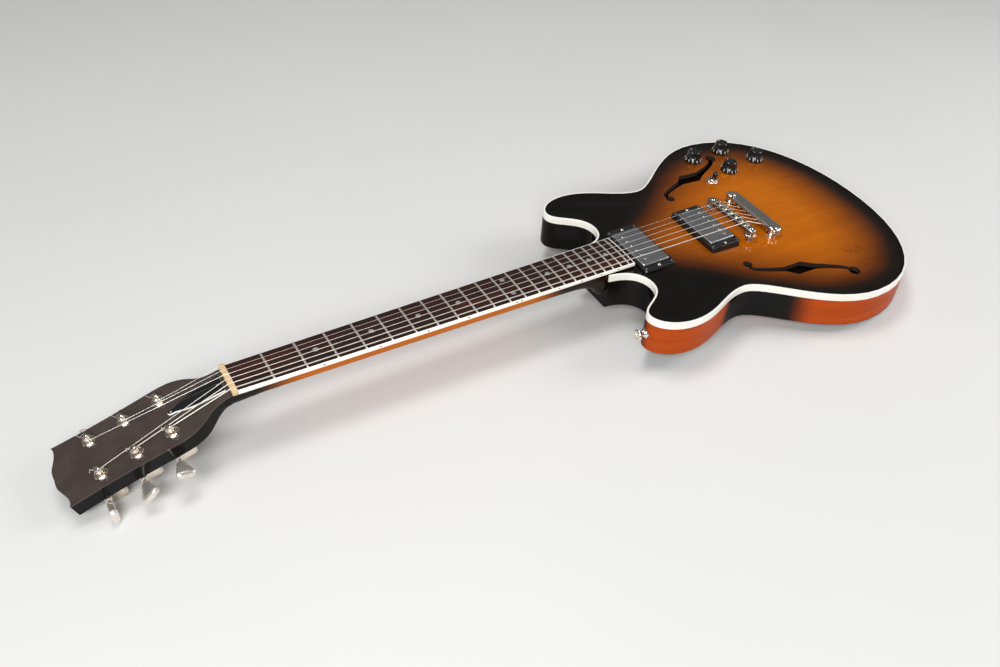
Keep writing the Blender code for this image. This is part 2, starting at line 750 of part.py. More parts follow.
def build_pickup(label, middle, ring_mean, cover_over):
    """A tapered ring on the top, a metal cover level with the strings, and its coils with pole screws."""
    centre = (BODY_MATRIX @ Vector((middle, 0, 0))).x
    top_at = body_top_at(centre)
    ring_top = top_at + ring_mean
    cover_top = top_at + cover_over
    outer = rounded_rectangle(*RING_HALF, RING_CORNER, 3, (centre, 0))
    inner = rounded_rectangle(COVER_HALF[0] + 0.0005, COVER_HALF[1] + 0.0005, 0.0025, 3, (centre, 0))
    seat = [Vector((p.x, p.y, body_top_at(p.x) + GAP)) for p in outer]
    seat_in = [Vector((p.x, p.y, body_top_at(p.x) + GAP)) for p in inner]
    rings = [
        seat,
        flat(shrink(outer, 0.0004, (centre, 0)), ring_top - 0.0008),
        flat(shrink(outer, 0.0014, (centre, 0)), ring_top),
        flat(inner, ring_top),
        seat_in,
    ]
    ring = add_object(f"{label}_pickup_ring", loft(f"{label}_pickup_ring", rings, closed=True), guitar)
    dress(ring, "black")
    shell = rounded_rectangle(*COVER_HALF, 0.0030, 2, (centre, 0))
    inside = shrink(shell, 0.0007, (centre, 0))
    depth = 0.0150
    rings = [
        flat(shrink(shell, 0.0009, (centre, 0)), cover_top),
        flat(shell, cover_top - 0.0009),
        flat(shell, cover_top - depth),
        flat(inside, cover_top - depth),
        flat(inside, cover_top - 0.0008),
    ]
    cover = add_object(f"{label}_pickup_cover", loft(f"{label}_pickup_cover", rings), guitar)
    poles = [(centre + pole_side(label) * 0.0093, string_point(i, centre).y, 0.0018) for i in range(6)]
    holes = cylinder_mesh(f"{label}_pole_holes", [(x, y, r + GAP) for x, y, r in poles],
                          cover_top - 0.003, cover_top + 0.002, 6)
    cut(cover, holes, parent=guitar)
    dress(cover, "nickel")
    coils = rounded_rectangle(COVER_HALF[0] - 0.0012, COVER_HALF[1] - 0.0012, 0.0030, 1, (centre, 0))
    low = cover_top - depth - 0.0012
    base = add_object(f"{label}_pickup_base",
                      plate(f"{label}_pickup_base", [coils], low, cover_top - 0.0014), guitar)
    legs_low = (centre - 0.006, -0.0405, low - 0.0012)
    legs_high = (centre + 0.006, 0.0405, low + 0.0004)
    join(base, box_mesh(f"{label}_legs", legs_low, legs_high), parent=guitar)
    screws = cylinder_mesh(f"{label}_pole_screws", poles, cover_top - 0.004, cover_top + 0.0004, 6)
    join(base, screws, parent=guitar)
    dress(base, "steel")


def pole_side(label):
    """The pole screws are on the neck's side of the neck pickup and the tail's side of the other."""
    return -1 if label == "neck" else 1


def build_bridge():
    bar_low = BRIDGE_BAR_LOW
    bar_high = BRIDGE_BAR_HIGH
    outline = rounded_rectangle(0.0058, 0.0440, 0.0055, 4)
    rings = [
        flat(shrink(outline, 0.0006), bar_low),
        flat(outline, bar_low + 0.0008),
        flat(outline, bar_high - 0.0012),
        flat(shrink(outline, 0.0010), bar_high),
    ]
    place = {"location": (BRIDGE_X, 0, 0), "rotation": (0, 0, BRIDGE_SLANT)}
    bar = add_object("bridge", loft("bridge", rings), body_plane, **place)
    spots = [(0, side * BRIDGE_POST, 0.0027) for side in (-1, 1)]
    cut(bar, cylinder_mesh("bridge_holes", spots, 0, 0.02, 12), parent=body_plane, **place)
    inverse = BODY_MATRIX.inverted()
    for index, radius in enumerate(STRING_RADII):
        under = saddle_height(index) - radius - GAP
        seat = inverse @ Vector((saddle_x(index), string_y(index, BRIDGE_SPACING), under))
        rings = []
        for z, reach in ((bar_high - 0.002, 0.0021), (seat.z - 0.0010, 0.0017), (seat.z, 0.0005)):
            rings.append([
                Vector((seat.x + along * reach, seat.y + across * 0.0040, z))
                for along, across in ((-1, -1), (1, -1), (1, 1), (-1, 1))
            ])
        join(bar, loft(f"saddle_{index + 1}", rings), parent=body_plane)
    dress(bar, "nickel")
    shift = BRIDGE_POST * math.sin(BRIDGE_SLANT)
    for number, side in ((1, -1), (2, 1)):
        wheel_high = bar_low - GAP
        wheel_low = wheel_high - 0.0018
        profile = (
            (0, bar_high + 0.0002), (0.0024, bar_high + 0.0002), (0.0024, wheel_high), (0.0082, wheel_high),
            (0.0082, wheel_low), (0.0024, wheel_low), (0.0024, 0.0018), (0.0050, GAP), (0.0024, GAP),
            (0.0024, -0.0240), (0, -0.0240),
        )
        spot = (BRIDGE_X - side * shift, side * BRIDGE_POST, 0)
        post = turned(f"bridge_post_{number}", profile, 10, parent=body_plane, location=spot)
        dress(post, "nickel")


def build_tailpiece():
    low = TAIL_BAR_LOW
    high = TAIL_BAR_HIGH
    back = TAIL_STUD[0] + TAIL_BAR_BACK
    front = TAIL_STUD[0] - 0.0035
    middle = (front + back) / 2
    outline = rounded_rectangle((back - front) / 2, 0.0500, 0.0070, 3, (middle, 0))
    rings = [
        flat(shrink(outline, 0.0025, (middle, 0)), low),
        flat(outline, low + 0.0024),
        flat(outline, high - 0.0028),
        flat(shrink(outline, 0.0032, (middle, 0)), high),
    ]
    bar = add_object("tailpiece", loft("tailpiece", rings), body_plane)
    for side in (-1, 1):
        stud_x = TAIL_STUD[0]
        stud_y = side * TAIL_STUD[1]
        slot = [Vector((stud_x - 0.02, stud_y + y)) for y in (-0.0043, 0.0043)]
        slot += [p for p in circle(0.0043, (stud_x, stud_y), 12) if p.x > stud_x - 0.0001]
        slot = sorted(slot, key=lambda p: math.atan2(p.y - stud_y, p.x - stud_x))
        cut(bar, plate(f"stud_slot_{side}", [slot], 0, 0.02), parent=body_plane)
    holes = bmesh.new()
    for index in range(6):
        spot = Vector((middle, tail_y(index), TAIL_HOLE_Z))
        matrix = Matrix.Translation(spot) @ Matrix.Rotation(math.pi / 2, 4, "Y")
        bmesh.ops.create_cone(holes, cap_ends=True, segments=6, radius1=0.0023, radius2=0.0023,
                              depth=0.04, matrix=matrix)
    cut(bar, mesh_from("string_holes", holes), parent=body_plane)
    dress(bar, "nickel")
    for number, side in ((1, -1), (2, 1)):
        profile = (
            (0, 0.0152), (0.0056, 0.0152), (0.0068, 0.0143), (0.0068, high + GAP), (0.0038, high + GAP),
            (0.0038, low - GAP), (0.0068, low - GAP), (0.0060, GAP), (0.0042, GAP),
            (0.0042, -0.0240), (0, -0.0240),
        )
        spot = (TAIL_STUD[0], side * TAIL_STUD[1], 0)
        stud = turned(f"tailpiece_stud_{number}", profile, 12, parent=body_plane, location=spot)
        dress(stud, "nickel")


def tail_y(index):
    return string_y(index, BRIDGE_SPACING)


# Strings

def post_of(index):
    """Station and side of a string's post. From the nut, the bass side runs low E, A, D."""
    station = POST_STATIONS[index] if index < 3 else POST_STATIONS[5 - index]
    side = -1 if index < 3 else 1
    return station, side


def wound_route(index):
    """The string's turns on its post, top turn first, in the headstock's frame."""
    station, side = post_of(index)
    radius = STRING_RADII[index]
    centre = Vector((-station, side * POST_SIDE))
    leaves_nut = Vector((-GAP - NUT_LONG - 0.0004, string_y(index, NUT_SPACING), nut_height(index)))
    nut = HEAD_MATRIX.inverted() @ leaves_nut
    away = Vector((nut.x, nut.y)) - centre
    reach = 0.0026 + GAP + radius
    start = math.atan2(away.y, away.x) - side * math.acos(reach / away.length)
    low = 0.0031 + radius
    pitch = 2 * radius + 0.00055
    count = 12
    turns = WINDING_TURNS
    route = []
    for step in range(turns * count + 1):
        angle = start - side * step * 2 * math.pi / count
        z = low + pitch * step / count
        route.append(Vector((centre.x + reach * math.cos(angle), centre.y + reach * math.sin(angle), z)))
    route.reverse()
    return [HEAD_MATRIX @ point for point in route]


def least_gap(route, radius, skip):
    """Least distance from the wire's surface to itself, leaving out points next to one another."""
    tree = KDTree(len(route))
    for number, point in enumerate(route):
        tree.insert(point, number)
    tree.balance()
    least = 1.0
    for number, point in enumerate(route):
        for _, other, distance in tree.find_range(point, 0.01):
            if abs(other - number) > skip:
                least = min(least, distance - 2 * radius)
    return least


def build_strings():
    for index, radius in enumerate(STRING_RADII):
        route = wound_route(index)
        gap = least_gap(route, radius, 5)
        print(f"string_{index + 1}: least gap between its turns {gap * 1000:.2f} mm")
        route.append(Vector((-GAP - NUT_LONG - 0.0004, string_y(index, NUT_SPACING), nut_height(index))))
        route.append(Vector((saddle_x(index), string_y(index, BRIDGE_SPACING), saddle_height(index))))
        front = Vector((TAIL_STUD[0] - 0.0042, tail_y(index), TAIL_HOLE_Z))
        ball = Vector((TAIL_STUD[0] + TAIL_BAR_BACK - 0.0030, tail_y(index), TAIL_HOLE_Z))
        route.append(BODY_MATRIX @ front)
        route.append(BODY_MATRIX @ ball)
        string = add_object(f"string_{index + 1}", tube(f"string_{index + 1}", route, radius), guitar)
        end = cylinder_mesh(f"ball_{index + 1}", [(0, 0, 0.0019)], -0.0018, 0.0018, 6)
        join(string, end, parent=body_plane, location=ball, rotation=(0, math.pi / 2, 0))
        dress(string, "bronze" if index < 3 else "steel")


# Tuners

def build_tuner(index):
    number = index + 1
    station, side = post_of(index)
    back = -VENEER - GAP - HEAD_THICK
    place = (-station, side * POST_SIDE, 0)
    build_housing(number, side, place, back)
    build_post(number, place)
    build_button(number, side, station, math.radians(BUTTON_TILTS[index]))


def build_housing(number, side, place, back):
    """A cast case under the headstock, fused with the bushing that comes up through it."""
    high = back - GAP
    low = back - HOUSING_DEEP
    middle = (-0.0030, side * 0.0010)
    outline = rounded_rectangle(0.0115, 0.0098, 0.0035, 1, middle)
    rings = [
        flat(shrink(outline, 0.0010, middle), low),
        flat(outline, low + 0.0012),
        flat(outline, high),
    ]
    name = f"tuner_housing_{number}"
    case = add_object(name, loft(name, rings), head_plane, place)
    sleeve = cylinder_mesh(f"sleeve_{number}", [(0, 0, 0.0043)], high - 0.0015, 0.0010, 10)
    join(case, sleeve, parent=head_plane, location=place)
    flange = cylinder_mesh(f"flange_{number}", [(0, 0, 0.0059)], GAP, 0.0023, 12)
    join(case, flange, parent=head_plane, location=place)
    bore = cylinder_mesh(f"post_bore_{number}", [(0, 0, 0.0034)], WORM_Z, 0.004, 10)
    cut(case, bore, parent=head_plane, location=place)
    room = cylinder_mesh(f"wheel_room_{number}", [(0, 0, 0.0072)], WORM_Z - 0.0045, WORM_Z + 0.0040, 12)
    cut(case, room, parent=head_plane, location=place)
    axis = Vector(place) + Vector((-WORM_OFFSET, 0, WORM_Z))
    turn = (math.pi / 2, 0, 0)
    worm_room = cylinder_mesh(f"worm_room_{number}", [(0, 0, 0.0041)], -0.0070, 0.0070, 10)
    cut(case, worm_room, parent=head_plane, location=axis, rotation=turn)
    shaft_hole = cylinder_mesh(f"shaft_hole_{number}", [(0, 0, 0.0023)], 0, 0.0200, 8)
    cut(case, shaft_hole, parent=head_plane, location=axis, rotation=(-side * math.pi / 2, 0, 0))
    dress(case, "nickel")


def build_post(number, place):
    """The string post with its wheel: a gap between two teeth faces the worm at rest."""
    profile = (
        (0, 0.0092), (0.0026, 0.0092), (0.0030, 0.0086), (0.0026, 0.0070), (0.0026, 0.0030), (0.0030, 0.0024),
        (0.0030, WORM_Z - 0.0042), (0, WORM_Z - 0.0042),
    )
    name = f"tuner_post_{number}"
    post = turned(name, profile, 8, parent=head_plane, location=place)
    outline = []
    for tooth in range(WHEEL_TEETH):
        middle = math.pi + (tooth + 0.5) * 2 * math.pi / WHEEL_TEETH
        for radius, angle in ((0.00635, middle), (0.0052, middle + math.pi / WHEEL_TEETH)):
            outline.append(Vector((radius * math.cos(angle), radius * math.sin(angle))))
    join(post, plate(f"wheel_{number}", [outline], WORM_Z - 0.0015, WORM_Z + 0.0015),
         parent=head_plane, location=place)
    dress(post, "nickel")


def build_button(number, side, station, tilt):
    """Worm, shaft, collar and button in one skin round the shaft's axis, tilted as it was left."""
    count = 8
    angles = [step * 2 * math.pi / count for step in range(count)]
    rings = []

    def round_ring(y, radius):
        rings.append([Vector((radius * math.cos(a), side * y, radius * math.sin(a))) for a in angles])

    def worm_ring(y):
        ring = []
        for angle in angles:
            phase = 2 * math.pi * side * y / WORM_LEAD - angle
            radius = 0.00275 + 0.00055 * math.cos(phase)
            ring.append(Vector((radius * math.cos(angle), side * y, radius * math.sin(angle))))
        rings.append(ring)

    def flat_ring(y, half_wide, half_thick):
        ring = []
        for angle in angles:
            c = math.cos(angle - tilt)
            s = math.sin(angle - tilt)
            wide = half_wide * math.copysign(abs(c) ** 0.45, c)
            thick = half_thick * math.copysign(abs(s) ** 0.45, s)
            x = wide * math.cos(tilt) - thick * math.sin(tilt)
            z = wide * math.sin(tilt) + thick * math.cos(tilt)
            ring.append(Vector((x, side * y, z)))
        rings.append(ring)

    round_ring(-0.0062, 0.0017)
    round_ring(-0.0044, 0.0017)
    steps = 10
    for step in range(steps + 1):
        worm_ring(-0.0036 + 0.0072 * step / steps)
    for y, radius in ((0.0044, 0.0019), (0.0114, 0.0019), (0.0116, 0.0031), (0.0134, 0.0031),
                      (0.0136, 0.0022)):
        round_ring(y, radius)
    for section in ((0.0182, 0.0036, 0.0026), (0.0205, 0.0046, 0.0028), (0.0335, 0.0088, 0.0034),
                    (0.0352, 0.0089, 0.0034), (0.0372, 0.0078, 0.0026)):
        flat_ring(*section)
    name = f"tuner_button_{number}"
    place = (-station - WORM_OFFSET, side * POST_SIDE, WORM_Z)
    button = add_object(name, loft(name, rings), head_plane, place)
    dress(button, "nickel")


# Controls

def build_knobs():
    for number, spot in enumerate(KNOBS, 1):
        knob_profile = (
            (0, 0.0152), (0.0084, 0.0152), (0.0092, 0.0145), (0.0099, 0.0075), (0.0121, 0.0024),
            (0.0122, 0.0008), (0.0110, 0.0008), (0.0086, 0.0042), (0.0030, 0.0042), (0.0030, -0.0100),
            (0, -0.0100),
        )
        knob = turned(f"knob_{number}", knob_profile, 14, parent=body_plane, location=(*spot, 0))
        dress(knob, "black")
        can_high = -TOP_THICK - GAP
        pot_profile = (
            (0, -0.0125), (0.0033, -0.0125), (0.0033, 0.0022), (0.0062, 0.0018),
            (0.0062, GAP), (0.0040, GAP), (0.0040, can_high), (0.0120, can_high),
            (0.0120, can_high - 0.0095), (0, can_high - 0.0095),
        )
        pot = turned(f"pot_{number}", pot_profile, 8, parent=body_plane, location=(*spot, 0))
        dress(pot, "steel")


def build_toggle():
    profile = (
        (0, -0.0140), (0.0033, -0.0140), (0.0033, -0.0030), (0.0048, 0.0034), (0.0072, 0.0032),
        (0.0074, 0.0014), (0.0088, 0.0012), (0.0088, GAP), (0.0059, GAP), (0.0059, -TOP_THICK - GAP),
        (0.0080, -TOP_THICK - GAP), (0.0080, -0.0270), (0, -0.0270),
    )
    switch = turned("toggle_switch", profile, 12, parent=body_plane, location=(*TOGGLE, 0))
    dress(switch, "nickel")
    lever_profile = (
        (0, 0.0205), (0.0020, 0.0201), (0.0032, 0.0185), (0.0036, 0.0160), (0.0030, 0.0102),
        (0.0020, 0.0092), (0.0015, 0.0090), (0.0015, 0.0026), (0.0026, 0.0014), (0.0030, 0),
        (0.0026, -0.0015), (0.0012, -0.0027), (0.0012, -0.0060), (0, -0.0060),
    )
    lever = turned("toggle_lever", lever_profile, 8, parent=body_plane,
                   location=(*TOGGLE, LEVER_PIVOT), rotation=(LEVER_LEAN, 0, 0))
    dress(lever, "black")


def build_output_jack():
    rim = BODY_SPANS[5][0][0][1]
    profile = (
        (0, -0.0230), (0.0033, -0.0230), (0.0033, 0.0046), (0.0050, 0.0046), (0.0066, 0.0038),
        (0.0066, 0.0010), (0.0056, 0.0010), (0.0056, -0.0250), (0, -0.0250),
    )
    place = {"location": (JACK_X, rim, JACK_Z), "rotation": (-math.pi / 2, 0, 0)}
    jack = turned("output_jack", profile, 12, parent=body_plane, **place)
    outline = rounded_rectangle(0.0160, 0.0125, 0.0040, 3)
    join(jack, plate("jack_plate", [outline, circle(0.0045)], GAP, 0.0021), parent=body_plane, **place)
    dress(jack, "nickel")


def build_strap_buttons():
    profile = (
        (0, 0.0120), (0.0054, 0.0120), (0.0068, 0.0104), (0.0040, 0.0082), (0.0034, 0.0055), (0.0062, 0.0014),
        (0.0062, 0.0006), (0.0018, 0.0006), (0.0018, -0.0072), (0, -0.0072),
    )
    for name, spot, turn in strap_places():
        button = turned(name, profile, 10, parent=body_plane, location=spot, rotation=turn)
        dress(button, "nickel")


# Resting place: the tail's lower edge and the endmost housings lie on the ground

def settle():
    tail = BODY_MATRIX @ Vector((BODY_SPANS[-1][0][-1][0] - 0.0015, 0, -BODY_DEPTH))
    case_low = -VENEER - GAP - HEAD_THICK - HOUSING_DEEP
    case = HEAD_MATRIX @ Vector((-POST_STATIONS[2] - 0.0135, 0, case_low))
    guitar.rotation_euler.y = math.atan2(tail.z - case.z, tail.x - case.x)
    bpy.context.view_layer.update()
    graph = bpy.context.evaluated_depsgraph_get()
    low = Vector((9, 9, 9))
    high = Vector((-9, -9, -9))
    for item in parts.objects:
        if item.type != "MESH":
            continue
        evaluated = item.evaluated_get(graph)
        for vertex in evaluated.data.vertices:
            point = evaluated.matrix_world @ vertex.co
            low = Vector(map(min, low, point))
            high = Vector(map(max, high, point))
    guitar.location = (-(low.x + high.x) / 2, -(low.y + high.y) / 2, -low.z)
    bpy.context.view_layer.update()
    print(f"size {high.x - low.x:.4f} x {high.y - low.y:.4f} x {high.z - low.z:.4f} m")
    print("neck frame in the world", [round(value, 5) for row in guitar.matrix_world for value in row])


def shade_round_pieces():
    for item in parts.objects:
        if item.type == "MESH" and item.data.polygons:
            item.data.shade_smooth()
            item.data.set_sharp_from_angle(angle=math.radians(35))


clear_scene()
parts, cutters = make_collections()
guitar = make_empty("guitar", None, (0, 0, 0), 0)
body_plane = make_empty("body_plane", guitar, BODY_ORIGIN, BODY_ANGLE)
head_plane = make_empty("head_plane", guitar, HEAD_ORIGIN, -HEAD_ANGLE)
build_body_back()
build_body_top()
build_body_binding()
build_control_cover()
build_neck()
build_head_veneer()
build_fretboard()
build_fretboard_binding()
build_nut()
build_truss_rod()
build_truss_rod_cover()
build_pickup("neck", NECK_PICKUP, 0.0036, 0.0054)
build_pickup("bridge", BRIDGE_PICKUP, 0.0078, 0.0103)
build_bridge()
build_tailpiece()
build_strings()
for tuner in range(6):
    build_tuner(tuner)
build_knobs()
build_toggle()
build_output_jack()
build_strap_buttons()
settle()
shade_round_pieces()
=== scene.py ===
# Semi-hollow electric guitar lying on a pale floor. All sizes are in metres.
import math

import bmesh
import bpy
from mathutils import Matrix, Vector
from mathutils.geometry import delaunay_2d_cdt, interpolate_bezier
from mathutils.kdtree import KDTree


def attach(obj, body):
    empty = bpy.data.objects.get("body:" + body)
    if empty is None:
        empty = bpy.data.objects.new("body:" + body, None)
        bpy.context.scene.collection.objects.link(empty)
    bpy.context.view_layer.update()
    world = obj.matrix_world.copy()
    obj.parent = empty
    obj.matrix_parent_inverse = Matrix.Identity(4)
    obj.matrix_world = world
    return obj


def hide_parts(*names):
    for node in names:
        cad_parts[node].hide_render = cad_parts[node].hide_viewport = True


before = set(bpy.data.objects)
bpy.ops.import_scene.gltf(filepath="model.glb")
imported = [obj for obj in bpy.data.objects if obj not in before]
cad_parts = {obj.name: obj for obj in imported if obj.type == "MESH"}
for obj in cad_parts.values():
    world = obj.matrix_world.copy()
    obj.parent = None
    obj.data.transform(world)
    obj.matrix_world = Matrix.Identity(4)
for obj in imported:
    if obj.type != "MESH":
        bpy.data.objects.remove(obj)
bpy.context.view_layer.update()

QUARTER = math.pi / 2


def set_at(spot, angle=0.0, axis="Z"):
    """A move to a spot, after a turn about one axis."""
    return Matrix.Translation(spot) @ Matrix.Rotation(angle, 4, axis)


def fret_x(number):
    """A fret's distance from the nut, by the twelfth root of two."""
    return SCALE_LENGTH * (1 - 2 ** (-number / 12))


# Frames: the neck's, and the planes of the body's top and the headstock's face
BODY_TILT = math.radians(3.1)
HEAD_TILT = math.radians(-17)
BODY_ORIGIN = Vector((0.452001, 0, -0.007))
NECK_FRAME = set_at((-0.34808, -0.0023, 0.07513), -0.00067, "Y")
BODY_IN_NECK = set_at(BODY_ORIGIN, BODY_TILT, "Y")
HEAD_IN_NECK = set_at((-0.006, 0, -0.004), HEAD_TILT, "Y")
BODY_FRAME = NECK_FRAME @ BODY_IN_NECK
HEAD_FRAME = NECK_FRAME @ HEAD_IN_NECK

# Neck, fingerboard and strings
SEAM = 0.0003
SCALE_LENGTH = 0.62865
FRETS = 22
BOARD_RADIUS = 0.3048
BOARD_THICK = 0.0050
BOARD_END = fret_x(FRETS) + 0.00726
NUT_HALF = 0.0215
BOARD_FLARE = 0.01543
BINDING_WIDE = 0.0014
FRET_WIDE = 0.0024
FRET_HIGH = 0.0011
NUT_LONG = 0.0054
STRING_RADII = (0.000584, 0.000457, 0.000330, 0.000216, 0.000165, 0.000127)
STRING_TURNS = (3, 3, 4, 5, 5, 6)
NUT_SPACING = 0.0071
BRIDGE_SPACING = 0.0104
STRING_OVER_FRET = 0.0005
STRING_AT_BRIDGE = 0.0035
SADDLE_BACK = (0.0060, 0.0047, 0.0034, 0.0038, 0.0027, 0.0016)
DOT_FRETS = (3, 5, 7, 9, 12, 15, 17, 19, 21)

# Headstock and tuners
HEAD_THICK = 0.0135
THROAT_LONG = 0.036
THROAT_SLIM = 0.32
VENEER = 0.0015
ROD_POCKET_HALF = (0.014, 0.0068)
ROD_POCKET_X = -0.0205
POST_STATIONS = (0.062, 0.097, 0.132)
POST_SIDE = 0.0233
POST_HOLE = 0.0046
POST_WAIST = 0.0026
POST_EYE_Z = 0.0076
WHEEL_TEETH = 14
WORM_OFFSET = 0.0090
WORM_LEAD = 2 * math.pi * 0.0060 / WHEEL_TEETH
WORM_Z = -0.0220
HOUSING_DEEP = 0.0145
BUTTON_TILTS = (-28, 20, 74, 74, 30, 26)
CROWN = 0.0004

# Body
BODY_DEPTH = 0.047
TOP_THICK = 0.006
BINDING_HIGH = 0.0088
BODY_BINDING_WIDE = 0.0023
RIM_WALL = 0.008
BLOCK_HALF = 0.050
FLOOR_THICK = 0.0085
NECK_END = -0.030
CAVITY_HALF = (0.0205, 0.0415)
NECK_PICKUP = 0.0354
BRIDGE_PICKUP = 0.1372
# Pickups: label, place along the body, and heights of ring and cover over the top
PICKUPS = (("neck", NECK_PICKUP, 0.0036, 0.0054), ("bridge", BRIDGE_PICKUP, 0.0078, 0.0103))
RING_HALF = (0.0225, 0.0445)
COVER_HALF = (0.0194, 0.0350)
BRIDGE_X = 0.1785
BRIDGE_SLANT = math.radians(2.5)
BRIDGE_POST = 0.037
BRIDGE_BAR = (0.0092, 0.0162)
BRIDGE_ON_BODY = set_at((BRIDGE_X, 0, 0), BRIDGE_SLANT)
BRIDGE_POST_HOLE = 0.0025
TAIL_STUD_HOLE = 0.0043
KNOB_SHAFT_HOLE = 0.0043
SWITCH_HOLE = 0.0062
TAIL_STUD = (0.2130, 0.042)
TAIL_BAR_BACK = 0.0150
TAIL_BAR = (0.0042, 0.0124)
TAIL_BAR_HALF = 0.0500
TAIL_END_ROUND = 0.14
TAIL_HOLE_Z = 0.0080
KNOBS = ((0.2355, 0.151), (0.2905, 0.157), (0.268, 0.1095), (0.3255, 0.121))
TOGGLE = (0.2265, 0.0955)
LEVER_LEAN = math.radians(14)
LEVER_PIVOT = -0.004
JACK_X = 0.262
JACK_Z = -0.027
STRAP_Z = -0.025
CONTROL_HALF = (0.050, 0.033)
CONTROL_CENTRE = (0.277, 0.128)
JACK_PLATE_TOP = 0.0021
KNOB_TURNS = (-40, 25, 70, 10)
DIAL_NUMBERS = 11
DIAL_STEP = 30
DIAL_NUMBER_HIGH = 0.0034
RIM_DIP = 0.0010
RIM_DIP_WIDE = 0.034
TOP_MESH_PITCH = 0.0042
TOP_MESH_CLEAR = 0.0022

# Top's looks: depth of colour at the edge of the burst and how far it runs, and a knot in the maple
BURST_EDGE = 0.20
BURST_REACH = 0.13
KNOT = (0.3990, -0.1125, 0.0527)
KNOT_LONG = 0.022
KNOT_WIDE = 0.011

BODY_SPANS = (
    ((-0.030, 0.0315), (-0.008, 0.0325), (0.0085, 0.042), (0.0085, 0.062)),
    ((0.0085, 0.062), (0.0085, 0.090), (-0.031, 0.092), (-0.031, 0.111)),
    ((-0.031, 0.111), (-0.031, 0.126), (-0.012, 0.141), (0.0155, 0.141)),
    ((0.0155, 0.141), (0.053, 0.141), (0.079, 0.114), (0.110, 0.114)),
    ((0.110, 0.114), (0.142, 0.114), (0.188, 0.191), (0.262, 0.191)),
    ((0.262, 0.191), (0.352, 0.191), (0.404, 0.108), (0.404, 0.0)),
)
HEAD_SPANS = (
    ((0.0005, 0.0206), (0.012, 0.0206), (0.018, 0.0215), (0.0255, 0.0275)),
    ((0.0255, 0.0275), (0.034, 0.0343), (0.042, 0.0405), (0.060, 0.0405)),
    ((0.060, 0.0405), (0.085, 0.0400), (0.115, 0.0373), (0.166, 0.0402)),
    ((0.166, 0.0402), (0.1632, 0.034), (0.1655, 0.0265), (0.1705, 0.0150)),
    ((0.1705, 0.0150), (0.1722, 0.0105), (0.1718, 0.005), (0.1715, 0.0)),
)
# Outer limit of the amber in the sunburst, along one side from the neck to the tail
BURST_SPANS = (
    ((0.012, 0.0), (0.016, 0.030), (0.050, 0.046), (0.085, 0.073)),
    ((0.085, 0.073), (0.130, 0.108), (0.185, 0.174), (0.262, 0.174)),
    ((0.262, 0.174), (0.335, 0.174), (0.387, 0.105), (0.387, 0.0)),
)
# Sound hole, bass side mirrored: its round eyes as centre and radius, and the stem between them as
# points of its middle line with the widths toward the rim and toward the strings
UPPER_EYE = (0.1420, 0.0797, 0.0060)
LOWER_EYE = (0.2633, 0.1460, 0.0080)
STEM = (
    (0.1404, 0.0868, 0.0032, 0.0032),
    (0.1442, 0.0918, 0.0030, 0.0030),
    (0.1520, 0.0960, 0.0032, 0.0032),
    (0.1650, 0.1020, 0.0036, 0.0037),
    (0.1800, 0.1077, 0.0042, 0.0048),
    (0.1925, 0.1115, 0.0118, 0.0088),
    (0.2070, 0.1140, 0.0088, 0.0118),
    (0.2200, 0.1178, 0.0054, 0.0062),
    (0.2390, 0.1262, 0.0040, 0.0042),
    (0.2520, 0.1335, 0.0036, 0.0036),
    (0.2590, 0.1388, 0.0034, 0.0034),
)


# Colours and node trees

def srgb(red, green, blue):
    """A colour as a picture shows it, 0 to 255, as the linear colour that a shader takes."""
    linear = []
    for value in (red, green, blue):
        part = value / 255
        linear.append(part / 12.92 if part <= 0.04045 else ((part + 0.055) / 1.055) ** 2.4)
    return (*linear, 1)


def node(tree, kind, inputs=None, **settings):
    made = tree.nodes.new(kind)
    for key, value in settings.items():
        setattr(made, key, value)
    for key, value in (inputs or {}).items():
        if isinstance(value, bpy.types.NodeSocket):
            tree.links.new(value, made.inputs[key])
        else:
            made.inputs[key].default_value = value
    return made


def maths(tree, operation, first, second=0.0, third=0.0):
    return node(tree, "ShaderNodeMath", {0: first, 1: second, 2: third}, operation=operation).outputs[0]


def product(tree, first, second):
    return maths(tree, "MULTIPLY", first, second)


def rest_of(tree, share):
    """What is left of 1 beside a share."""
    return maths(tree, "SUBTRACT", 1.0, share)


def length_of(tree, vector):
    return node(tree, "ShaderNodeVectorMath", {0: vector}, operation="LENGTH").outputs["Value"]


def noise(tree, where, scale, detail, **more):
    inputs = {"Vector": where, "Scale": scale, "Detail": detail, **more}
    return node(tree, "ShaderNodeTexNoise", inputs).outputs[0]


def blended(tree, share, first, second, blend_type="MIX"):
    inputs = {0: share, 6: first, 7: second}
    return node(tree, "ShaderNodeMix", inputs, data_type="RGBA", blend_type=blend_type).outputs[2]


def between(tree, value, low, high):
    """0 below low, 1 above high, and eased between."""
    inputs = {"Value": value, "From Min": low, "From Max": high}
    return node(tree, "ShaderNodeMapRange", inputs, interpolation_type="SMOOTHSTEP", clamp=True).outputs[0]


def ramp(tree, share, stops):
    made = node(tree, "ShaderNodeValToRGB", {"Fac": share})
    band = made.color_ramp
    while len(band.elements) < len(stops):
        band.elements.new(0.5)
    for element, (place, colour) in zip(band.elements, stops):
        element.position = place
        element.color = colour
    return made.outputs["Color"]


def new_group(name, inputs, outputs):
    group = bpy.data.node_groups.new(name, "ShaderNodeTree")
    for label, kind, value in inputs:
        socket = group.interface.new_socket(label, in_out="INPUT", socket_type=kind)
        if value is not None:
            socket.default_value = value
    for label, kind in outputs:
        group.interface.new_socket(label, in_out="OUTPUT", socket_type=kind)
    return group, node(group, "NodeGroupInput"), node(group, "NodeGroupOutput")


FLOAT = "NodeSocketFloat"
COLOUR = "NodeSocketColor"
VECTOR = "NodeSocketVector"


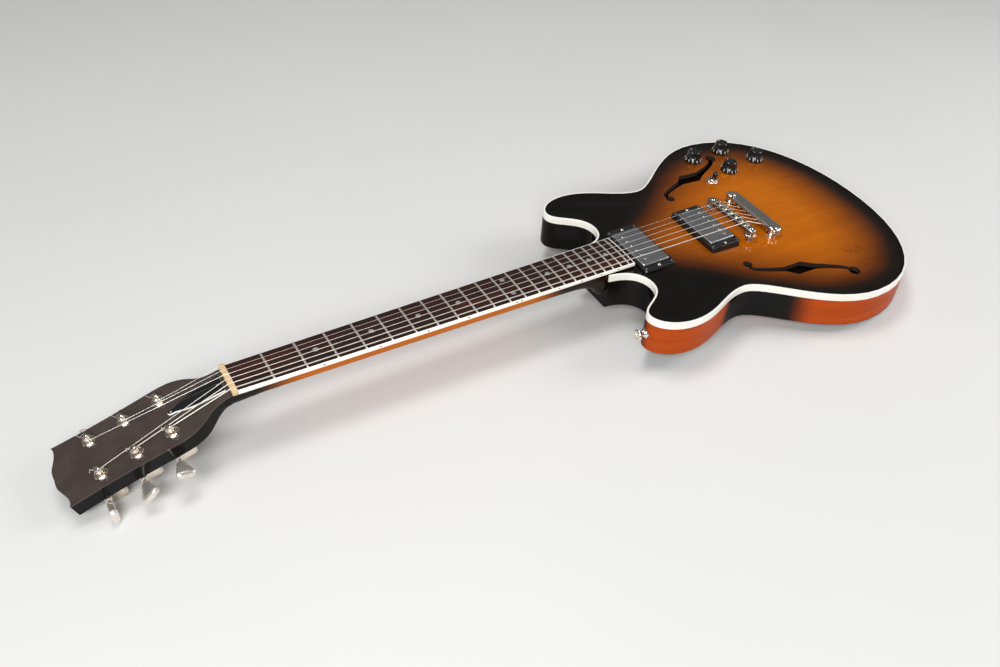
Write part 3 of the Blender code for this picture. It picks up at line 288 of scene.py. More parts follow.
def wood_figure_group():
    """Long grain: fine dark lines and broad bands, stretched along one axis by the mapping that feeds it."""
    group, entry, leave = new_group(
        "wood_figure",
        [("Vector", VECTOR, None), ("Base", COLOUR, (0.5, 0.3, 0.1, 1)),
         ("Line", COLOUR, (0.2, 0.1, 0.05, 1)), ("Line strength", FLOAT, 0.3), ("Band strength", FLOAT, 0.2)],
        [("Color", COLOUR), ("Height", FLOAT)],
    )
    spot = entry.outputs["Vector"]
    fine = noise(group, spot, 1.0, 6.0, Roughness=0.65)
    broad = noise(group, spot, 0.17, 3.0, Roughness=0.5)
    line_share = product(group, between(group, fine, 0.45, 0.72), entry.outputs["Line strength"])
    band_share = product(group, between(group, broad, 0.35, 0.70), entry.outputs["Band strength"])
    share = maths(group, "MAXIMUM", line_share, band_share)
    colour = blended(group, share, entry.outputs["Base"], entry.outputs["Line"])
    group.links.new(colour, leave.inputs["Color"])
    group.links.new(fine, leave.inputs["Height"])
    return group


def handling_group():
    """Roughness that varies as polished and handled places do, with faint wipe marks."""
    group, entry, leave = new_group(
        "handling",
        [("Vector", VECTOR, None), ("Roughness", FLOAT, 0.3),
         ("Amount", FLOAT, 0.1), ("Scale", FLOAT, 30.0)],
        [("Roughness", FLOAT), ("Mark", FLOAT)],
    )
    spot = entry.outputs["Vector"]
    cloud = noise(group, spot, entry.outputs["Scale"], 4.0)
    swirl = noise(group, spot, 260.0, 2.0, Distortion=1.5)
    soft = maths(group, "MULTIPLY_ADD", cloud, 0.75, -0.375)
    hard = maths(group, "MULTIPLY_ADD", swirl, 0.25, -0.125)
    total = maths(group, "ADD", soft, hard)
    rough = maths(group, "MULTIPLY_ADD", total, entry.outputs["Amount"], entry.outputs["Roughness"])
    group.links.new(rough, leave.inputs["Roughness"])
    group.links.new(cloud, leave.inputs["Mark"])
    return group


def plated_group():
    """Plated metal: a base tint with warmer and duller patches and fine scratches."""
    group, entry, leave = new_group(
        "plated",
        [("Vector", VECTOR, None), ("Tint", COLOUR, (0.6, 0.58, 0.55, 1)),
         ("Dull", COLOUR, (0.4, 0.36, 0.3, 1)), ("Dulling", FLOAT, 0.3), ("Roughness", FLOAT, 0.12)],
        [("Color", COLOUR), ("Roughness", FLOAT), ("Height", FLOAT)],
    )
    spot = entry.outputs["Vector"]
    patch = noise(group, spot, 90.0, 5.0, Roughness=0.6)
    scratch = noise(group, spot, 900.0, 2.0, Distortion=2.0)
    share = product(group, between(group, patch, 0.42, 0.75), entry.outputs["Dulling"])
    colour = blended(group, share, entry.outputs["Tint"], entry.outputs["Dull"])
    group.links.new(colour, leave.inputs["Color"])
    rough = maths(group, "MULTIPLY_ADD", share, 0.25, entry.outputs["Roughness"])
    group.links.new(rough, leave.inputs["Roughness"])
    group.links.new(scratch, leave.inputs["Height"])
    return group


def moulded_group():
    """Moulded plastic: a base colour that yellows or greys in soft patches, and a fine surface grain."""
    group, entry, leave = new_group(
        "moulded",
        [("Vector", VECTOR, None), ("Base", COLOUR, (0.5, 0.5, 0.5, 1)),
         ("Aged", COLOUR, (0.4, 0.35, 0.25, 1)), ("Ageing", FLOAT, 0.3), ("Roughness", FLOAT, 0.3)],
        [("Color", COLOUR), ("Roughness", FLOAT), ("Height", FLOAT)],
    )
    spot = entry.outputs["Vector"]
    patch = noise(group, spot, 40.0, 4.0)
    grain = noise(group, spot, 1400.0, 2.0)
    share = product(group, between(group, patch, 0.35, 0.75), entry.outputs["Ageing"])
    colour = blended(group, share, entry.outputs["Base"], entry.outputs["Aged"])
    group.links.new(colour, leave.inputs["Color"])
    rough = maths(group, "MULTIPLY_ADD", patch, 0.12, entry.outputs["Roughness"])
    group.links.new(rough, leave.inputs["Roughness"])
    group.links.new(grain, leave.inputs["Height"])
    return group


WOOD = wood_figure_group()
HANDLING = handling_group()
PLATED = plated_group()
MOULDED = moulded_group()


def placed(tree, group, where, **inputs):
    """One of the groups above, fed with a place and with values by the names of its sockets."""
    made = node(tree, "ShaderNodeGroup")
    made.node_tree = group
    tree.links.new(where, made.inputs["Vector"])
    for label, value in inputs.items():
        made.inputs[label.replace("_", " ")].default_value = value
    return made


def grained(tree, where, stretch, base, line, line_strength, band_strength):
    return placed(tree, WOOD, stretched(tree, where, stretch), Base=base, Line=line,
                  Line_strength=line_strength, Band_strength=band_strength)


def new_finish(name, **settings):
    """A material with its shader and the Object coordinates. Settings go on the shader's own sockets."""
    material = bpy.data.materials.new(name)
    material.use_nodes = True
    tree = material.node_tree
    shader = tree.nodes["Principled BSDF"]
    for label, value in settings.items():
        shader.inputs[label.replace("_", " ")].default_value = value
    where = node(tree, "ShaderNodeTexCoord").outputs["Object"]
    return material, tree, shader, where


def stretched(tree, where, scale):
    return node(tree, "ShaderNodeMapping", {"Vector": where, "Scale": scale}).outputs[0]


def dressed(tree, shader, colour, roughness, height, strength, distance):
    """Gives a shader its colour, its roughness and its relief."""
    tree.links.new(colour, shader.inputs["Base Color"])
    tree.links.new(roughness, shader.inputs["Roughness"])
    relief = node(tree, "ShaderNodeBump", {"Height": height, "Strength": strength, "Distance": distance})
    tree.links.new(relief.outputs[0], shader.inputs["Normal"])


def lacquer(name, coat, coat_roughness):
    """Coloured lacquer, whose gloss is all in the clear coat."""
    return new_finish(name, Coat_Weight=coat, Coat_Roughness=coat_roughness, Specular_IOR_Level=0.0)


def lacquered_top():
    """Sunburst: amber in the middle, through red-brown to black at the rim, over straight maple grain."""
    material, tree, shader, where = lacquer("sunburst_lacquer", 0.55, 0.035)
    depth = node(tree, "ShaderNodeAttribute", attribute_name="burst_depth").outputs["Fac"]
    uneven = maths(tree, "MULTIPLY_ADD", noise(tree, where, 14.0, 2.0), 0.10, -0.05)
    burst = ramp(tree, maths(tree, "ADD", depth, uneven), (
        (0.00, srgb(13, 12, 10)),
        (0.13, srgb(16, 12, 10)),
        (0.22, srgb(33, 20, 11)),
        (0.31, srgb(80, 37, 8)),
        (0.41, srgb(116, 57, 6)),
        (0.50, srgb(140, 71, 4)),
        (0.69, srgb(172, 89, 3)),
        (0.90, srgb(192, 103, 4)),
    ))
    grain = grained(tree, where, (7, 330, 330), (1, 1, 1, 1), (0.60, 0.50, 0.42, 1), 0.50, 0.32)
    stained = blended(tree, 1.0, burst, grain.outputs["Color"], "MULTIPLY")
    offset = node(tree, "ShaderNodeVectorMath", {0: where, 1: KNOT}, operation="SUBTRACT").outputs[0]
    reach = length_of(tree, stretched(tree, offset, (1 / KNOT_LONG, 1 / KNOT_WIDE, 0)))
    near = rest_of(tree, between(tree, reach, 0.45, 1.0))
    curl = maths(tree, "SUBTRACT", noise(tree, where, 170.0, 2.0, Distortion=1.6), 0.5)
    ridge = rest_of(tree, between(tree, maths(tree, "ABSOLUTE", curl), 0.012, 0.055))
    knot = product(tree, product(tree, near, ridge), 0.7)
    colour = blended(tree, knot, stained, srgb(98, 36, 5))
    marks = placed(tree, HANDLING, where, Roughness=0.32, Amount=0.12, Scale=22.0)
    dressed(tree, shader, colour, marks.outputs["Roughness"], marks.outputs["Mark"], 0.04, 0.0006)
    return material


def lacquered_sides():
    """Red-orange mahogany sides with painted shade, nearly black in the waist and cutaways where the horns
    shadow them, and a brown back with a dark rim.
    """
    material, tree, shader, where = lacquer("mahogany_lacquer", 0.35, 0.05)
    parts = node(tree, "ShaderNodeSeparateXYZ", {"Vector": where})
    along = parts.outputs["X"]
    toward_treble = maths(tree, "ADD", parts.outputs["Y"], 0.0023)
    across = maths(tree, "MAXIMUM", product(tree, toward_treble, 0.84), product(tree, toward_treble, -1.0))
    drift = noise(tree, where, 18.0, 3.0)
    shifted = maths(tree, "ADD", along, maths(tree, "MULTIPLY_ADD", drift, 0.020, -0.010))
    # Painted shade: the waist behind the horn and the insides of the cutaways go nearly black, though not on
    # the back.
    before_tail = rest_of(tree, between(tree, shifted, 0.262, 0.292))
    waist = product(tree, between(tree, shifted, 0.168, 0.188), before_tail)
    inside_horns = rest_of(tree, between(tree, across, 0.102, 0.118))
    cutaway = product(tree, inside_horns, rest_of(tree, between(tree, along, 0.118, 0.140)))
    facing = node(tree, "ShaderNodeNewGeometry").outputs["Normal"]
    down = node(tree, "ShaderNodeSeparateXYZ", {"Vector": facing}).outputs["Z"]
    on_back = between(tree, down, -0.55, -0.75)
    dark = product(tree, maths(tree, "MAXIMUM", waist, cutaway), rest_of(tree, on_back))
    grain = grained(tree, where, (12, 12, 480), srgb(190, 76, 4), srgb(132, 42, 4), 0.6, 0.45)
    back = grained(tree, where, (10, 420, 420), srgb(150, 62, 24), srgb(80, 26, 14), 0.5, 0.4)
    oval = {"Vector": where, "Location": (-1.93, 0.016, 0), "Scale": (5.9, 6.6, 0)}
    rim = between(tree, length_of(tree, node(tree, "ShaderNodeMapping", oval).outputs[0]), 0.85, 1.12)
    back_colour = blended(tree, rim, back.outputs["Color"], srgb(30, 14, 10))
    wood = blended(tree, on_back, grain.outputs["Color"], back_colour)
    # The painted shade laid over the wood as near black.
    colour = blended(tree, dark, wood, srgb(12, 7, 6))
    marks = placed(tree, HANDLING, where, Roughness=0.30, Amount=0.14, Scale=26.0)
    dressed(tree, shader, colour, marks.outputs["Roughness"], grain.outputs["Height"], 0.05, 0.0004)
    return material


def lacquered_neck():
    """Brown-orange neck, darker under the nut and at the heel, black round the headstock."""
    material, tree, shader, where = lacquer("neck_lacquer", 0.4, 0.08)
    along = node(tree, "ShaderNodeSeparateXYZ", {"Vector": where}).outputs["X"]
    grain = grained(tree, where, (9, 480, 480), srgb(200, 106, 10), srgb(150, 66, 14), 0.5, 0.35)
    heel = between(tree, along, -0.032, 0.020)
    nut_end = rest_of(tree, between(tree, along, -0.332, -0.280))
    shade = product(tree, maths(tree, "MAXIMUM", heel, nut_end), 0.98)
    brown = blended(tree, shade, grain.outputs["Color"], srgb(11, 7, 6))
    head = rest_of(tree, between(tree, along, -0.356, -0.326))
    colour = blended(tree, head, brown, srgb(15, 14, 13))
    marks = placed(tree, HANDLING, where, Roughness=0.28, Amount=0.16, Scale=30.0)
    dressed(tree, shader, colour, marks.outputs["Roughness"], grain.outputs["Height"], 0.05, 0.0004)
    return material


def coated(made, group, strength, distance, **inputs):
    """Finishes a material with one of the groups, which gives its colour, roughness and relief."""
    material, tree, shader, where = made
    outputs = placed(tree, group, where, **inputs).outputs
    dressed(tree, shader, outputs["Color"], outputs["Roughness"], outputs["Height"], strength, distance)
    return material


def black_lacquer():
    return coated(lacquer("headstock_lacquer", 0.7, 0.10), MOULDED, 0.03, 0.0002,
                  Base=srgb(66, 56, 52), Aged=srgb(78, 68, 63), Ageing=0.8, Roughness=0.34)


def plastic(name, base, aged, ageing, roughness, coat=0.0, grain=0.04):
    return coated(new_finish(name, Coat_Weight=coat, Coat_Roughness=0.06), MOULDED, grain, 0.0002,
                  Base=base, Aged=aged, Ageing=ageing, Roughness=roughness)


def metal(name, tint, dull, dulling, roughness, scratches=0.008, metallic=1.0):
    return coated(new_finish(name, Metallic=metallic), PLATED, scratches, 0.0001,
                  Tint=tint, Dull=dull, Dulling=dulling, Roughness=roughness)


def dark_board():
    """Open-pored dark rosewood: long pores and red-brown streaks, without gloss."""
    material, tree, shader, where = new_finish("rosewood", Specular_IOR_Level=0.2)
    grain = grained(tree, where, (22, 700, 700), srgb(48, 26, 20), srgb(24, 13, 11), 0.85, 0.5)
    streak = between(tree, noise(tree, stretched(tree, where, (6, 90, 90)), 1.0, 3.0), 0.5, 0.75)
    colour = blended(tree, streak, grain.outputs["Color"], srgb(70, 32, 23))
    marks = placed(tree, HANDLING, where, Roughness=0.46, Amount=0.2, Scale=30.0)
    dressed(tree, shader, colour, marks.outputs["Roughness"], grain.outputs["Height"], 0.25, 0.0002)
    return material


def pearl():
    """Pearl dot: pale, with soft bands that turn from warm to cool."""
    material, tree, shader, where = new_finish("pearl", Coat_Weight=1.0, Coat_Roughness=0.05)
    swirl = noise(tree, where, 240.0, 2.0, Distortion=1.6)
    colour = ramp(tree, swirl, (
        (0.25, srgb(104, 106, 103)),
        (0.45, srgb(162, 160, 150)),
        (0.60, srgb(138, 143, 146)),
        (0.78, srgb(180, 176, 165)),
    ))
    tree.links.new(colour, shader.inputs["Base Color"])
    tree.links.new(maths(tree, "MULTIPLY_ADD", swirl, 0.2, 0.15), shader.inputs["Roughness"])
    return material


def wound_wire():
    """Round-wound string: a fine wrap seen as close rings along the string."""
    material, tree, shader, where = new_finish("wound_string", Metallic=0.6)
    wrap = node(tree, "ShaderNodeTexWave", {"Vector": where, "Scale": 640.0, "Distortion": 0.0},
                wave_type="BANDS", bands_direction="X")
    plate = placed(tree, PLATED, where, Tint=srgb(246, 240, 230), Dull=srgb(222, 210, 190), Dulling=0.5,
                   Roughness=0.38)
    rings = wrap.outputs["Fac"]
    colour = blended(tree, product(tree, rings, 0.35), plate.outputs["Color"], srgb(176, 168, 154))
    dressed(tree, shader, colour, plate.outputs["Roughness"], rings, 0.12, 0.00004)
    return material


def inner_wood():
    # Wood inside the chambers and on the sound holes' walls, coloured dark brown as painted shade inside the
    # hollow body.
    material, tree, shader, where = new_finish("chamber_wood_painted_shade")
    grain = grained(tree, where, (10, 300, 300), srgb(46, 27, 17), srgb(28, 15, 10), 0.6, 0.4).outputs
    marks = placed(tree, HANDLING, where, Roughness=0.75, Amount=0.2, Scale=40.0)
    dressed(tree, shader, grain["Color"], marks.outputs["Roughness"], grain["Height"], 0.2, 0.0003)
    return material


TOP_FINISH = lacquered_top()
SIDE_FINISH = lacquered_sides()
NECK_FINISH = lacquered_neck()
HEAD_FINISH = black_lacquer()
BOARD_FINISH = dark_board()
PEARL = pearl()
WOUND = wound_wire()
PAINTED_SHADE_WOOD = inner_wood()
CREAM = plastic("cream_binding", srgb(251, 248, 240), srgb(244, 238, 222), 0.5, 0.30, coat=0.8, grain=0.01)
# Cream nut plastic tinted tan: the tan is partly ageing and partly a painted warm reflection.
NUT_TAN_REFLECTION = plastic("nut_plastic_painted_reflection", srgb(226, 196, 152), srgb(198, 160, 112), 0.6, 0.36, grain=0.06)
BLACK_PLASTIC = plastic("black_plastic", srgb(17, 17, 18), srgb(30, 29, 29), 0.5, 0.30, coat=0.3)
KNOB_BLACK = plastic("knob_black", srgb(10, 10, 11), srgb(20, 19, 19), 0.5, 0.18, coat=0.6, grain=0.02)
MARK_WHITE = plastic("mark_white", srgb(246, 245, 238), srgb(228, 224, 208), 0.5, 0.45)
DOT_BLACK = plastic("dot_black", srgb(14, 13, 13), srgb(26, 24, 22), 0.5, 0.35)
NICKEL = metal("nickel", srgb(214, 210, 204), srgb(172, 162, 146), 0.5, 0.18)
COVER_NICKEL = metal("cover_nickel", srgb(182, 184, 188), srgb(158, 156, 152), 0.4, 0.30)
BRIGHT_NICKEL = metal("bright_nickel", srgb(236, 230, 222), srgb(196, 178, 158), 0.5, 0.10)
POST_NICKEL = metal("post_nickel", srgb(240, 227, 213), srgb(204, 184, 162), 0.5, 0.10)
KEY_NICKEL = metal("key_nickel", srgb(236, 230, 222), srgb(200, 188, 174), 0.5, 0.24, metallic=0.8)
SCREW_STEEL = metal("screw_steel", srgb(206, 204, 200), srgb(140, 132, 122), 0.5, 0.22)
PLAIN_STRING = metal("plain_string", srgb(250, 248, 244), srgb(226, 220, 208), 0.4, 0.34, metallic=0.6)
FRET_METAL = metal("fret_metal", srgb(246, 236, 228), srgb(214, 198, 186), 0.4, 0.30, metallic=0.88)
RAW_STEEL = metal("raw_steel", srgb(140, 138, 134), srgb(96, 88, 78), 0.7, 0.38, scratches=0.1)


# Outlines

def bezier_half(spans, steps):
    points = []
    for knots in spans:
        corners = [Vector((x, y, 0)) for x, y in knots]
        run = interpolate_bezier(*corners, steps + 1)
        points += [Vector((p.x, p.y)) for p in run[:-1]]
    points.append(Vector(spans[-1][-1]))
    return points


def inset_half(points, amount):
    """Moves an open run of outline points inward, toward its right."""
    moved = []
    for index, point in enumerate(points):
        before = points[max(index - 1, 0)]
        after = points[min(index + 1, len(points) - 1)]
        along = (after - before).normalized()
        moved.append(point + Vector((along.y, -along.x)) * amount)
    return moved


def both_halves(half):
    return half[:-1] + [Vector((half[-1].x, 0))] + mirrored(reversed(half[:-1]))


def body_half(inset=0.0, steps=12):
    return inset_half(bezier_half(BODY_SPANS, steps), inset)


def body_outline(inset=0.0):
    return both_halves(body_half(inset))


def head_outline():
    return both_halves([Vector((-p.x, p.y)) for p in bezier_half(HEAD_SPANS, 10)])


def rod_pocket():
    """Outline of the hollow in the headstock's face, over the truss rod's nut."""
    return rounded_rectangle(*ROD_POCKET_HALF, 0.004, 4, (ROD_POCKET_X, 0))


def post_spots():
    return [(-station, side * POST_SIDE) for station in POST_STATIONS for side in (-1, 1)]


def rounded_rectangle(half_x, half_y, corner, steps=6, centre=(0, 0)):
    points = []
    for quarter in range(4):
        start = quarter * math.pi / 2
        side_x = 1 if quarter in (0, 3) else -1
        side_y = 1 if quarter in (0, 1) else -1
        for step in range(steps + 1):
            angle = start + step * math.pi / 2 / steps
            x = centre[0] + side_x * (half_x - corner) + corner * math.cos(angle)
            y = centre[1] + side_y * (half_y - corner) + corner * math.sin(angle)
            points.append(Vector((x, y)))
    return points


def circle(radius, centre=(0, 0), steps=24):
    turns = [step * 2 * math.pi / steps for step in range(steps)]
    return [Vector((centre[0] + radius * math.cos(t), centre[1] + radius * math.sin(t))) for t in turns]


def smooth_line(points, steps):
    """A run through the points, eased with a cubic between each pair, for any count of values a point."""
    last = len(points) - 1
    along = [0.0]
    for start, end in zip(points, points[1:]):
        along.append(along[-1] + math.dist(start, end))
    slopes = []
    for index in range(last + 1):
        before = max(index - 1, 0)
        after = min(index + 1, last)
        room = along[after] - along[before]
        slopes.append([(b - a) / room for a, b in zip(points[before], points[after])])
    made = []
    for index in range(last):
        span = along[index + 1] - along[index]
        pair = list(zip(points[index], points[index + 1], slopes[index], slopes[index + 1]))
        for step in range(steps):
            t = step / steps
            values = []
            for start, end, leaving, reaching in pair:
                values.append((2 * t**3 - 3 * t**2 + 1) * start + (t**3 - 2 * t**2 + t) * span * leaving
                              + (3 * t**2 - 2 * t**3) * end + (t**3 - t**2) * span * reaching)
            made.append(tuple(values))
    made.append(tuple(points[last]))
    return made


def eye_arc(eye, start, end):
    """Points round an eye, clockwise, from beside one edge of the stem to beside the other."""
    steps = 20
    centre = Vector(eye[:2])
    first = math.atan2(start.y - centre.y, start.x - centre.x)
    last = math.atan2(end.y - centre.y, end.x - centre.x)
    sweep = (first - last) % (2 * math.pi)
    turns = [first - sweep * step / steps for step in range(steps + 1)]
    return [centre + eye[2] * Vector((math.cos(turn), math.sin(turn))) for turn in turns]


def sound_hole():
    """Closed outline of the treble side's sound hole: the stem's two edges, joined round both eyes."""
    steps = 3
    middle = [Vector((x, y)) for x, y, _, _ in STEM]
    outer = []
    inner = []
    for index, (_, _, to_rim, to_strings) in enumerate(STEM):
        along = (middle[min(index + 1, len(middle) - 1)] - middle[max(index - 1, 0)]).normalized()
        across = Vector((-along.y, along.x))
        outer.append(middle[index] + across * to_rim)
        inner.append(middle[index] - across * to_strings)
    notch, after_notch = 5, 7
    edges = []
    for edge in (outer, inner):
        run = smooth_line([tuple(p) for p in edge[:notch]], steps)
        run += [tuple(p) for p in edge[notch:after_notch]]
        run += smooth_line([tuple(p) for p in edge[after_notch:]], steps)
        edges.append([Vector(point) for point in run])
    outer, inner = edges
    lower = eye_arc(LOWER_EYE, outer[-1], inner[-1])
    return outer + lower + inner[::-1] + eye_arc(UPPER_EYE, inner[0], outer[0])


def mirrored(points):
    """The same points on the other side of the strings."""
    return [Vector((p.x, -p.y)) for p in points]


def flat(points, z):
    return [Vector((p.x, p.y, z)) for p in points]


def rounding(radius, steps):
    """Pairs of inset and rise over a quarter round, from a face to the side beside it."""
    angles = [step * QUARTER / steps for step in range(steps + 1)]
    return [(radius * (1 - math.sin(angle)), radius * (1 - math.cos(angle))) for angle in angles]


def scaled(points, amount, centre=(0, 0)):
    """Insets a convex outline about its centre by the same amount along both axes."""
    moved = []
    for point in points:
        x = point.x - centre[0]
        y = point.y - centre[1]
        moved.append(Vector((centre[0] + math.copysign(max(abs(x) - amount, 0), x),
                             centre[1] + math.copysign(max(abs(y) - amount, 0), y))))
    return moved


# Meshes

def smoothed(mesh, sharp):
    """Shades a mesh smooth, apart from edges sharper than an angle in degrees."""
    mesh.shade_smooth()
    mesh.set_sharp_from_angle(angle=math.radians(sharp))
    return mesh


def finished(work, name, sharp=35):
    """Ends the work on a shape as a mesh, with its faces turned outward."""
    bmesh.ops.recalc_face_normals(work, faces=work.faces)
    return mesh_of_work(work, name, sharp)


def mesh_of_work(work, name, sharp):
    mesh = bpy.data.meshes.new(name)
    work.to_mesh(mesh)
    work.free()
    return smoothed(mesh, sharp)


def skin(name, rings, closed=False, sharp=35):
    """Skins rings of equal counts of points."""
    work = bmesh.new()
    rows = [[work.verts.new(point) for point in ring] for ring in rings]
    count = len(rings[0])
    pairs = list(zip(rows, rows[1:]))
    if closed:
        pairs.append((rows[-1], rows[0]))
    for first, second in pairs:
        for index in range(count):
            after = (index + 1) % count
            work.faces.new((first[index], first[after], second[after], second[index]))
    if not closed:
        work.faces.new(rows[0])
        work.faces.new(rows[-1])
    return finished(work, name, sharp)


def turned(name, profile, steps=32, flutes=0, flute_deep=0.0, flute_rows=(), sharp=35):
    """A profile of (radius, z) turned about Z. Rows in flute_rows are drawn in between the ridges."""
    work = bmesh.new()
    count = flutes * 4 if flutes else steps
    rows = []
    for number, (radius, z) in enumerate(profile):
        if radius < 0.000001:
            rows.append([work.verts.new((0, 0, z))])
            continue
        row = []
        for step in range(count):
            angle = 2 * math.pi * step / count
            reach = radius
            if number in flute_rows and step % 4 in (2, 3):
                reach = radius - flute_deep
            row.append(work.verts.new((reach * math.cos(angle), reach * math.sin(angle), z)))
        rows.append(row)
    for first, second in zip(rows, rows[1:]):
        for index in range(count):
            after = (index + 1) % count
            if len(first) == 1:
                work.faces.new((first[0], second[after], second[index]))
            elif len(second) == 1:
                work.faces.new((first[index], first[after], second[0]))
            else:
                work.faces.new((first[index], first[after], second[after], second[index]))
    return finished(work, name, sharp)


def plate(name, loops, low, high):
    """A flat sheet with holes, filled as a 2D curve."""
    curve = bpy.data.curves.new(name, "CURVE")
    curve.dimensions = "2D"
    curve.fill_mode = "BOTH"
    curve.extrude = (high - low) / 2
    for loop in loops:
        spline = curve.splines.new("POLY")
        spline.points.add(len(loop) - 1)
        for knot, point in zip(spline.points, loop):
            knot.co = (point.x, point.y, 0, 1)
        spline.use_cyclic_u = True
    mesh = mesh_of_curve(name, curve)
    mesh.transform(Matrix.Translation((0, 0, (low + high) / 2)))
    return mesh


def mesh_of_curve(name, curve):
    holder = bpy.data.objects.new(name, curve)
    bpy.context.scene.collection.objects.link(holder)
    bpy.context.view_layer.update()
    made = bpy.data.meshes.new_from_object(holder.evaluated_get(bpy.context.evaluated_depsgraph_get()))
    bpy.data.objects.remove(holder, do_unlink=True)
    bpy.data.curves.remove(curve)
    work = bmesh.new()
    work.from_mesh(made)
    bmesh.ops.remove_doubles(work, verts=work.verts, dist=0.0000005)
    bpy.data.meshes.remove(made)
    return finished(work, name)


def wire(name, route, radius, resolution=3):
    """A round wire along a list of points."""
    curve = bpy.data.curves.new(name, "CURVE")
    curve.dimensions = "3D"
    curve.bevel_depth = radius
    curve.bevel_resolution = resolution
    curve.use_fill_caps = True
    spline = curve.splines.new("POLY")
    spline.points.add(len(route) - 1)
    for knot, point in zip(spline.points, route):
        knot.co = (*point, 1)
    return mesh_of_curve(name, curve)


def moved(mesh, matrix):
    mesh.transform(matrix)
    return mesh


def merged(name, meshes, sharp=35):
    """Several closed shells in one mesh."""
    work = bmesh.new()
    for mesh in meshes:
        work.from_mesh(mesh)
    for mesh in meshes:
        bpy.data.meshes.remove(mesh)
    return mesh_of_work(work, name, sharp)


def temporary(mesh):
    item = bpy.data.objects.new(mesh.name, mesh)
    bpy.context.scene.collection.objects.link(item)
    return item


def applied(item, sharp):
    """The mesh that the object's modifiers give, with the object removed."""
    bpy.context.view_layer.update()
    made = bpy.data.meshes.new_from_object(item.evaluated_get(bpy.context.evaluated_depsgraph_get()))
    old = item.data
    bpy.data.objects.remove(item, do_unlink=True)
    bpy.data.meshes.remove(old)
    return smoothed(made, sharp)


def cut_away(mesh, cutters, sharp=35, added=()):
    """The mesh with shapes added and cutters taken out. A cutter's finish stays on the walls it cuts."""
    item = temporary(mesh)
    others = []
    for operation, shapes in (("UNION", added), ("DIFFERENCE", cutters)):
        for shape in shapes:
            other = temporary(shape)
            others.append(other)
            modifier = item.modifiers.new(other.name, "BOOLEAN")
            modifier.operation = operation
            modifier.solver = "EXACT"
            if mesh.materials:
                modifier.material_mode = "TRANSFER"
            modifier.object = other
    made = applied(item, sharp)
    for other in others:
        old = other.data
        bpy.data.objects.remove(other, do_unlink=True)
        bpy.data.meshes.remove(old)
    return made


def rod(radius, low, high, spot=(0, 0), steps=24):
    work = bmesh.new()
    middle = Matrix.Translation((spot[0], spot[1], (low + high) / 2))
    bmesh.ops.create_cone(work, cap_ends=True, segments=steps, radius1=radius, radius2=radius,
                          depth=high - low, matrix=middle)
    return finished(work, "rod")


def block(low, high):
    work = bmesh.new()
    size = Vector(high) - Vector(low)
    matrix = Matrix.Translation((Vector(high) + Vector(low)) / 2) @ Matrix.Diagonal((*size, 1))
    bmesh.ops.create_cube(work, size=1, matrix=matrix)
    return finished(work, "block")


def eased(item, width, segments=2, angle=40):
    bevel = item.modifiers.new("eased_edges", "BEVEL")
    bevel.width = width
    bevel.segments = segments
    bevel.limit_method = "ANGLE"
    bevel.angle_limit = math.radians(angle)
    bevel.use_clamp_overlap = True
    return item


def piece(name, mesh, place, finish, body="instrument", nodes=(), ease=0.0, segments=2):
    """Sets a mesh in its place as one piece that rides on a body."""
    mesh.transform(place)
    mesh.name = name
    item = bpy.data.objects.new(name, mesh)
    bpy.context.scene.collection.objects.link(item)
    if not mesh.materials:
        mesh.materials.append(finish)
    if ease:
        eased(item, ease, segments)
    if nodes:
        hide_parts(*nodes)
    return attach(item, body)


# Repeated shapes, with Geometry Nodes

def new_tree(name, inputs):
    tree = bpy.data.node_groups.new(name, "GeometryNodeTree")
    tree.interface.new_socket("Shape", in_out="INPUT", socket_type="NodeSocketGeometry")
    for label, kind, value in inputs:
        socket = tree.interface.new_socket(label, in_out="INPUT", socket_type=kind)
        socket.default_value = value
    tree.interface.new_socket("Finish", in_out="INPUT", socket_type="NodeSocketMaterial")
    tree.interface.new_socket("Copies", in_out="OUTPUT", socket_type="NodeSocketGeometry")
    return tree, node(tree, "NodeGroupInput"), node(tree, "NodeGroupOutput")


def close_tree(tree, entry, leave, instances, curve_down=None):
    real = node(tree, "GeometryNodeRealizeInstances", {0: instances}).outputs[0]
    if curve_down is not None:
        real = curve_down(real)
    painted = node(tree, "GeometryNodeSetMaterial", {"Geometry": real, "Material": entry.outputs["Finish"]})
    tree.links.new(painted.outputs[0], leave.inputs["Copies"])


def ring_tree():
    """Copies of the shape turned about Z, each a step further."""
    tree, entry, leave = new_tree("ring_of_copies", [
        ("Count", "NodeSocketInt", 8), ("First angle", FLOAT, 0.0), ("Angle step", FLOAT, 0.5)])
    line = node(tree, "GeometryNodeMeshLine", {"Count": entry.outputs["Count"], "Offset": (0, 0, 0)})
    number = node(tree, "GeometryNodeInputIndex").outputs[0]
    angle = maths(tree, "MULTIPLY_ADD", number, entry.outputs["Angle step"], entry.outputs["First angle"])
    turn = node(tree, "ShaderNodeCombineXYZ", {"Z": angle}).outputs[0]
    copies = node(tree, "GeometryNodeInstanceOnPoints",
                  {"Points": line.outputs[0], "Instance": entry.outputs["Shape"], "Rotation": turn})
    close_tree(tree, entry, leave, copies.outputs[0])
    return tree


def row_tree():
    """Copies of the shape in a straight row."""
    tree, entry, leave = new_tree("row_of_copies", [
        ("Count", "NodeSocketInt", 6), ("Start", VECTOR, (0, 0, 0)), ("Step", VECTOR, (0, 0.01, 0))])
    line = node(tree, "GeometryNodeMeshLine", {
        "Count": entry.outputs["Count"],
        "Start Location": entry.outputs["Start"],
        "Offset": entry.outputs["Step"]})
    copies = node(tree, "GeometryNodeInstanceOnPoints",
                  {"Points": line.outputs[0], "Instance": entry.outputs["Shape"]})
    close_tree(tree, entry, leave, copies.outputs[0])
    return tree


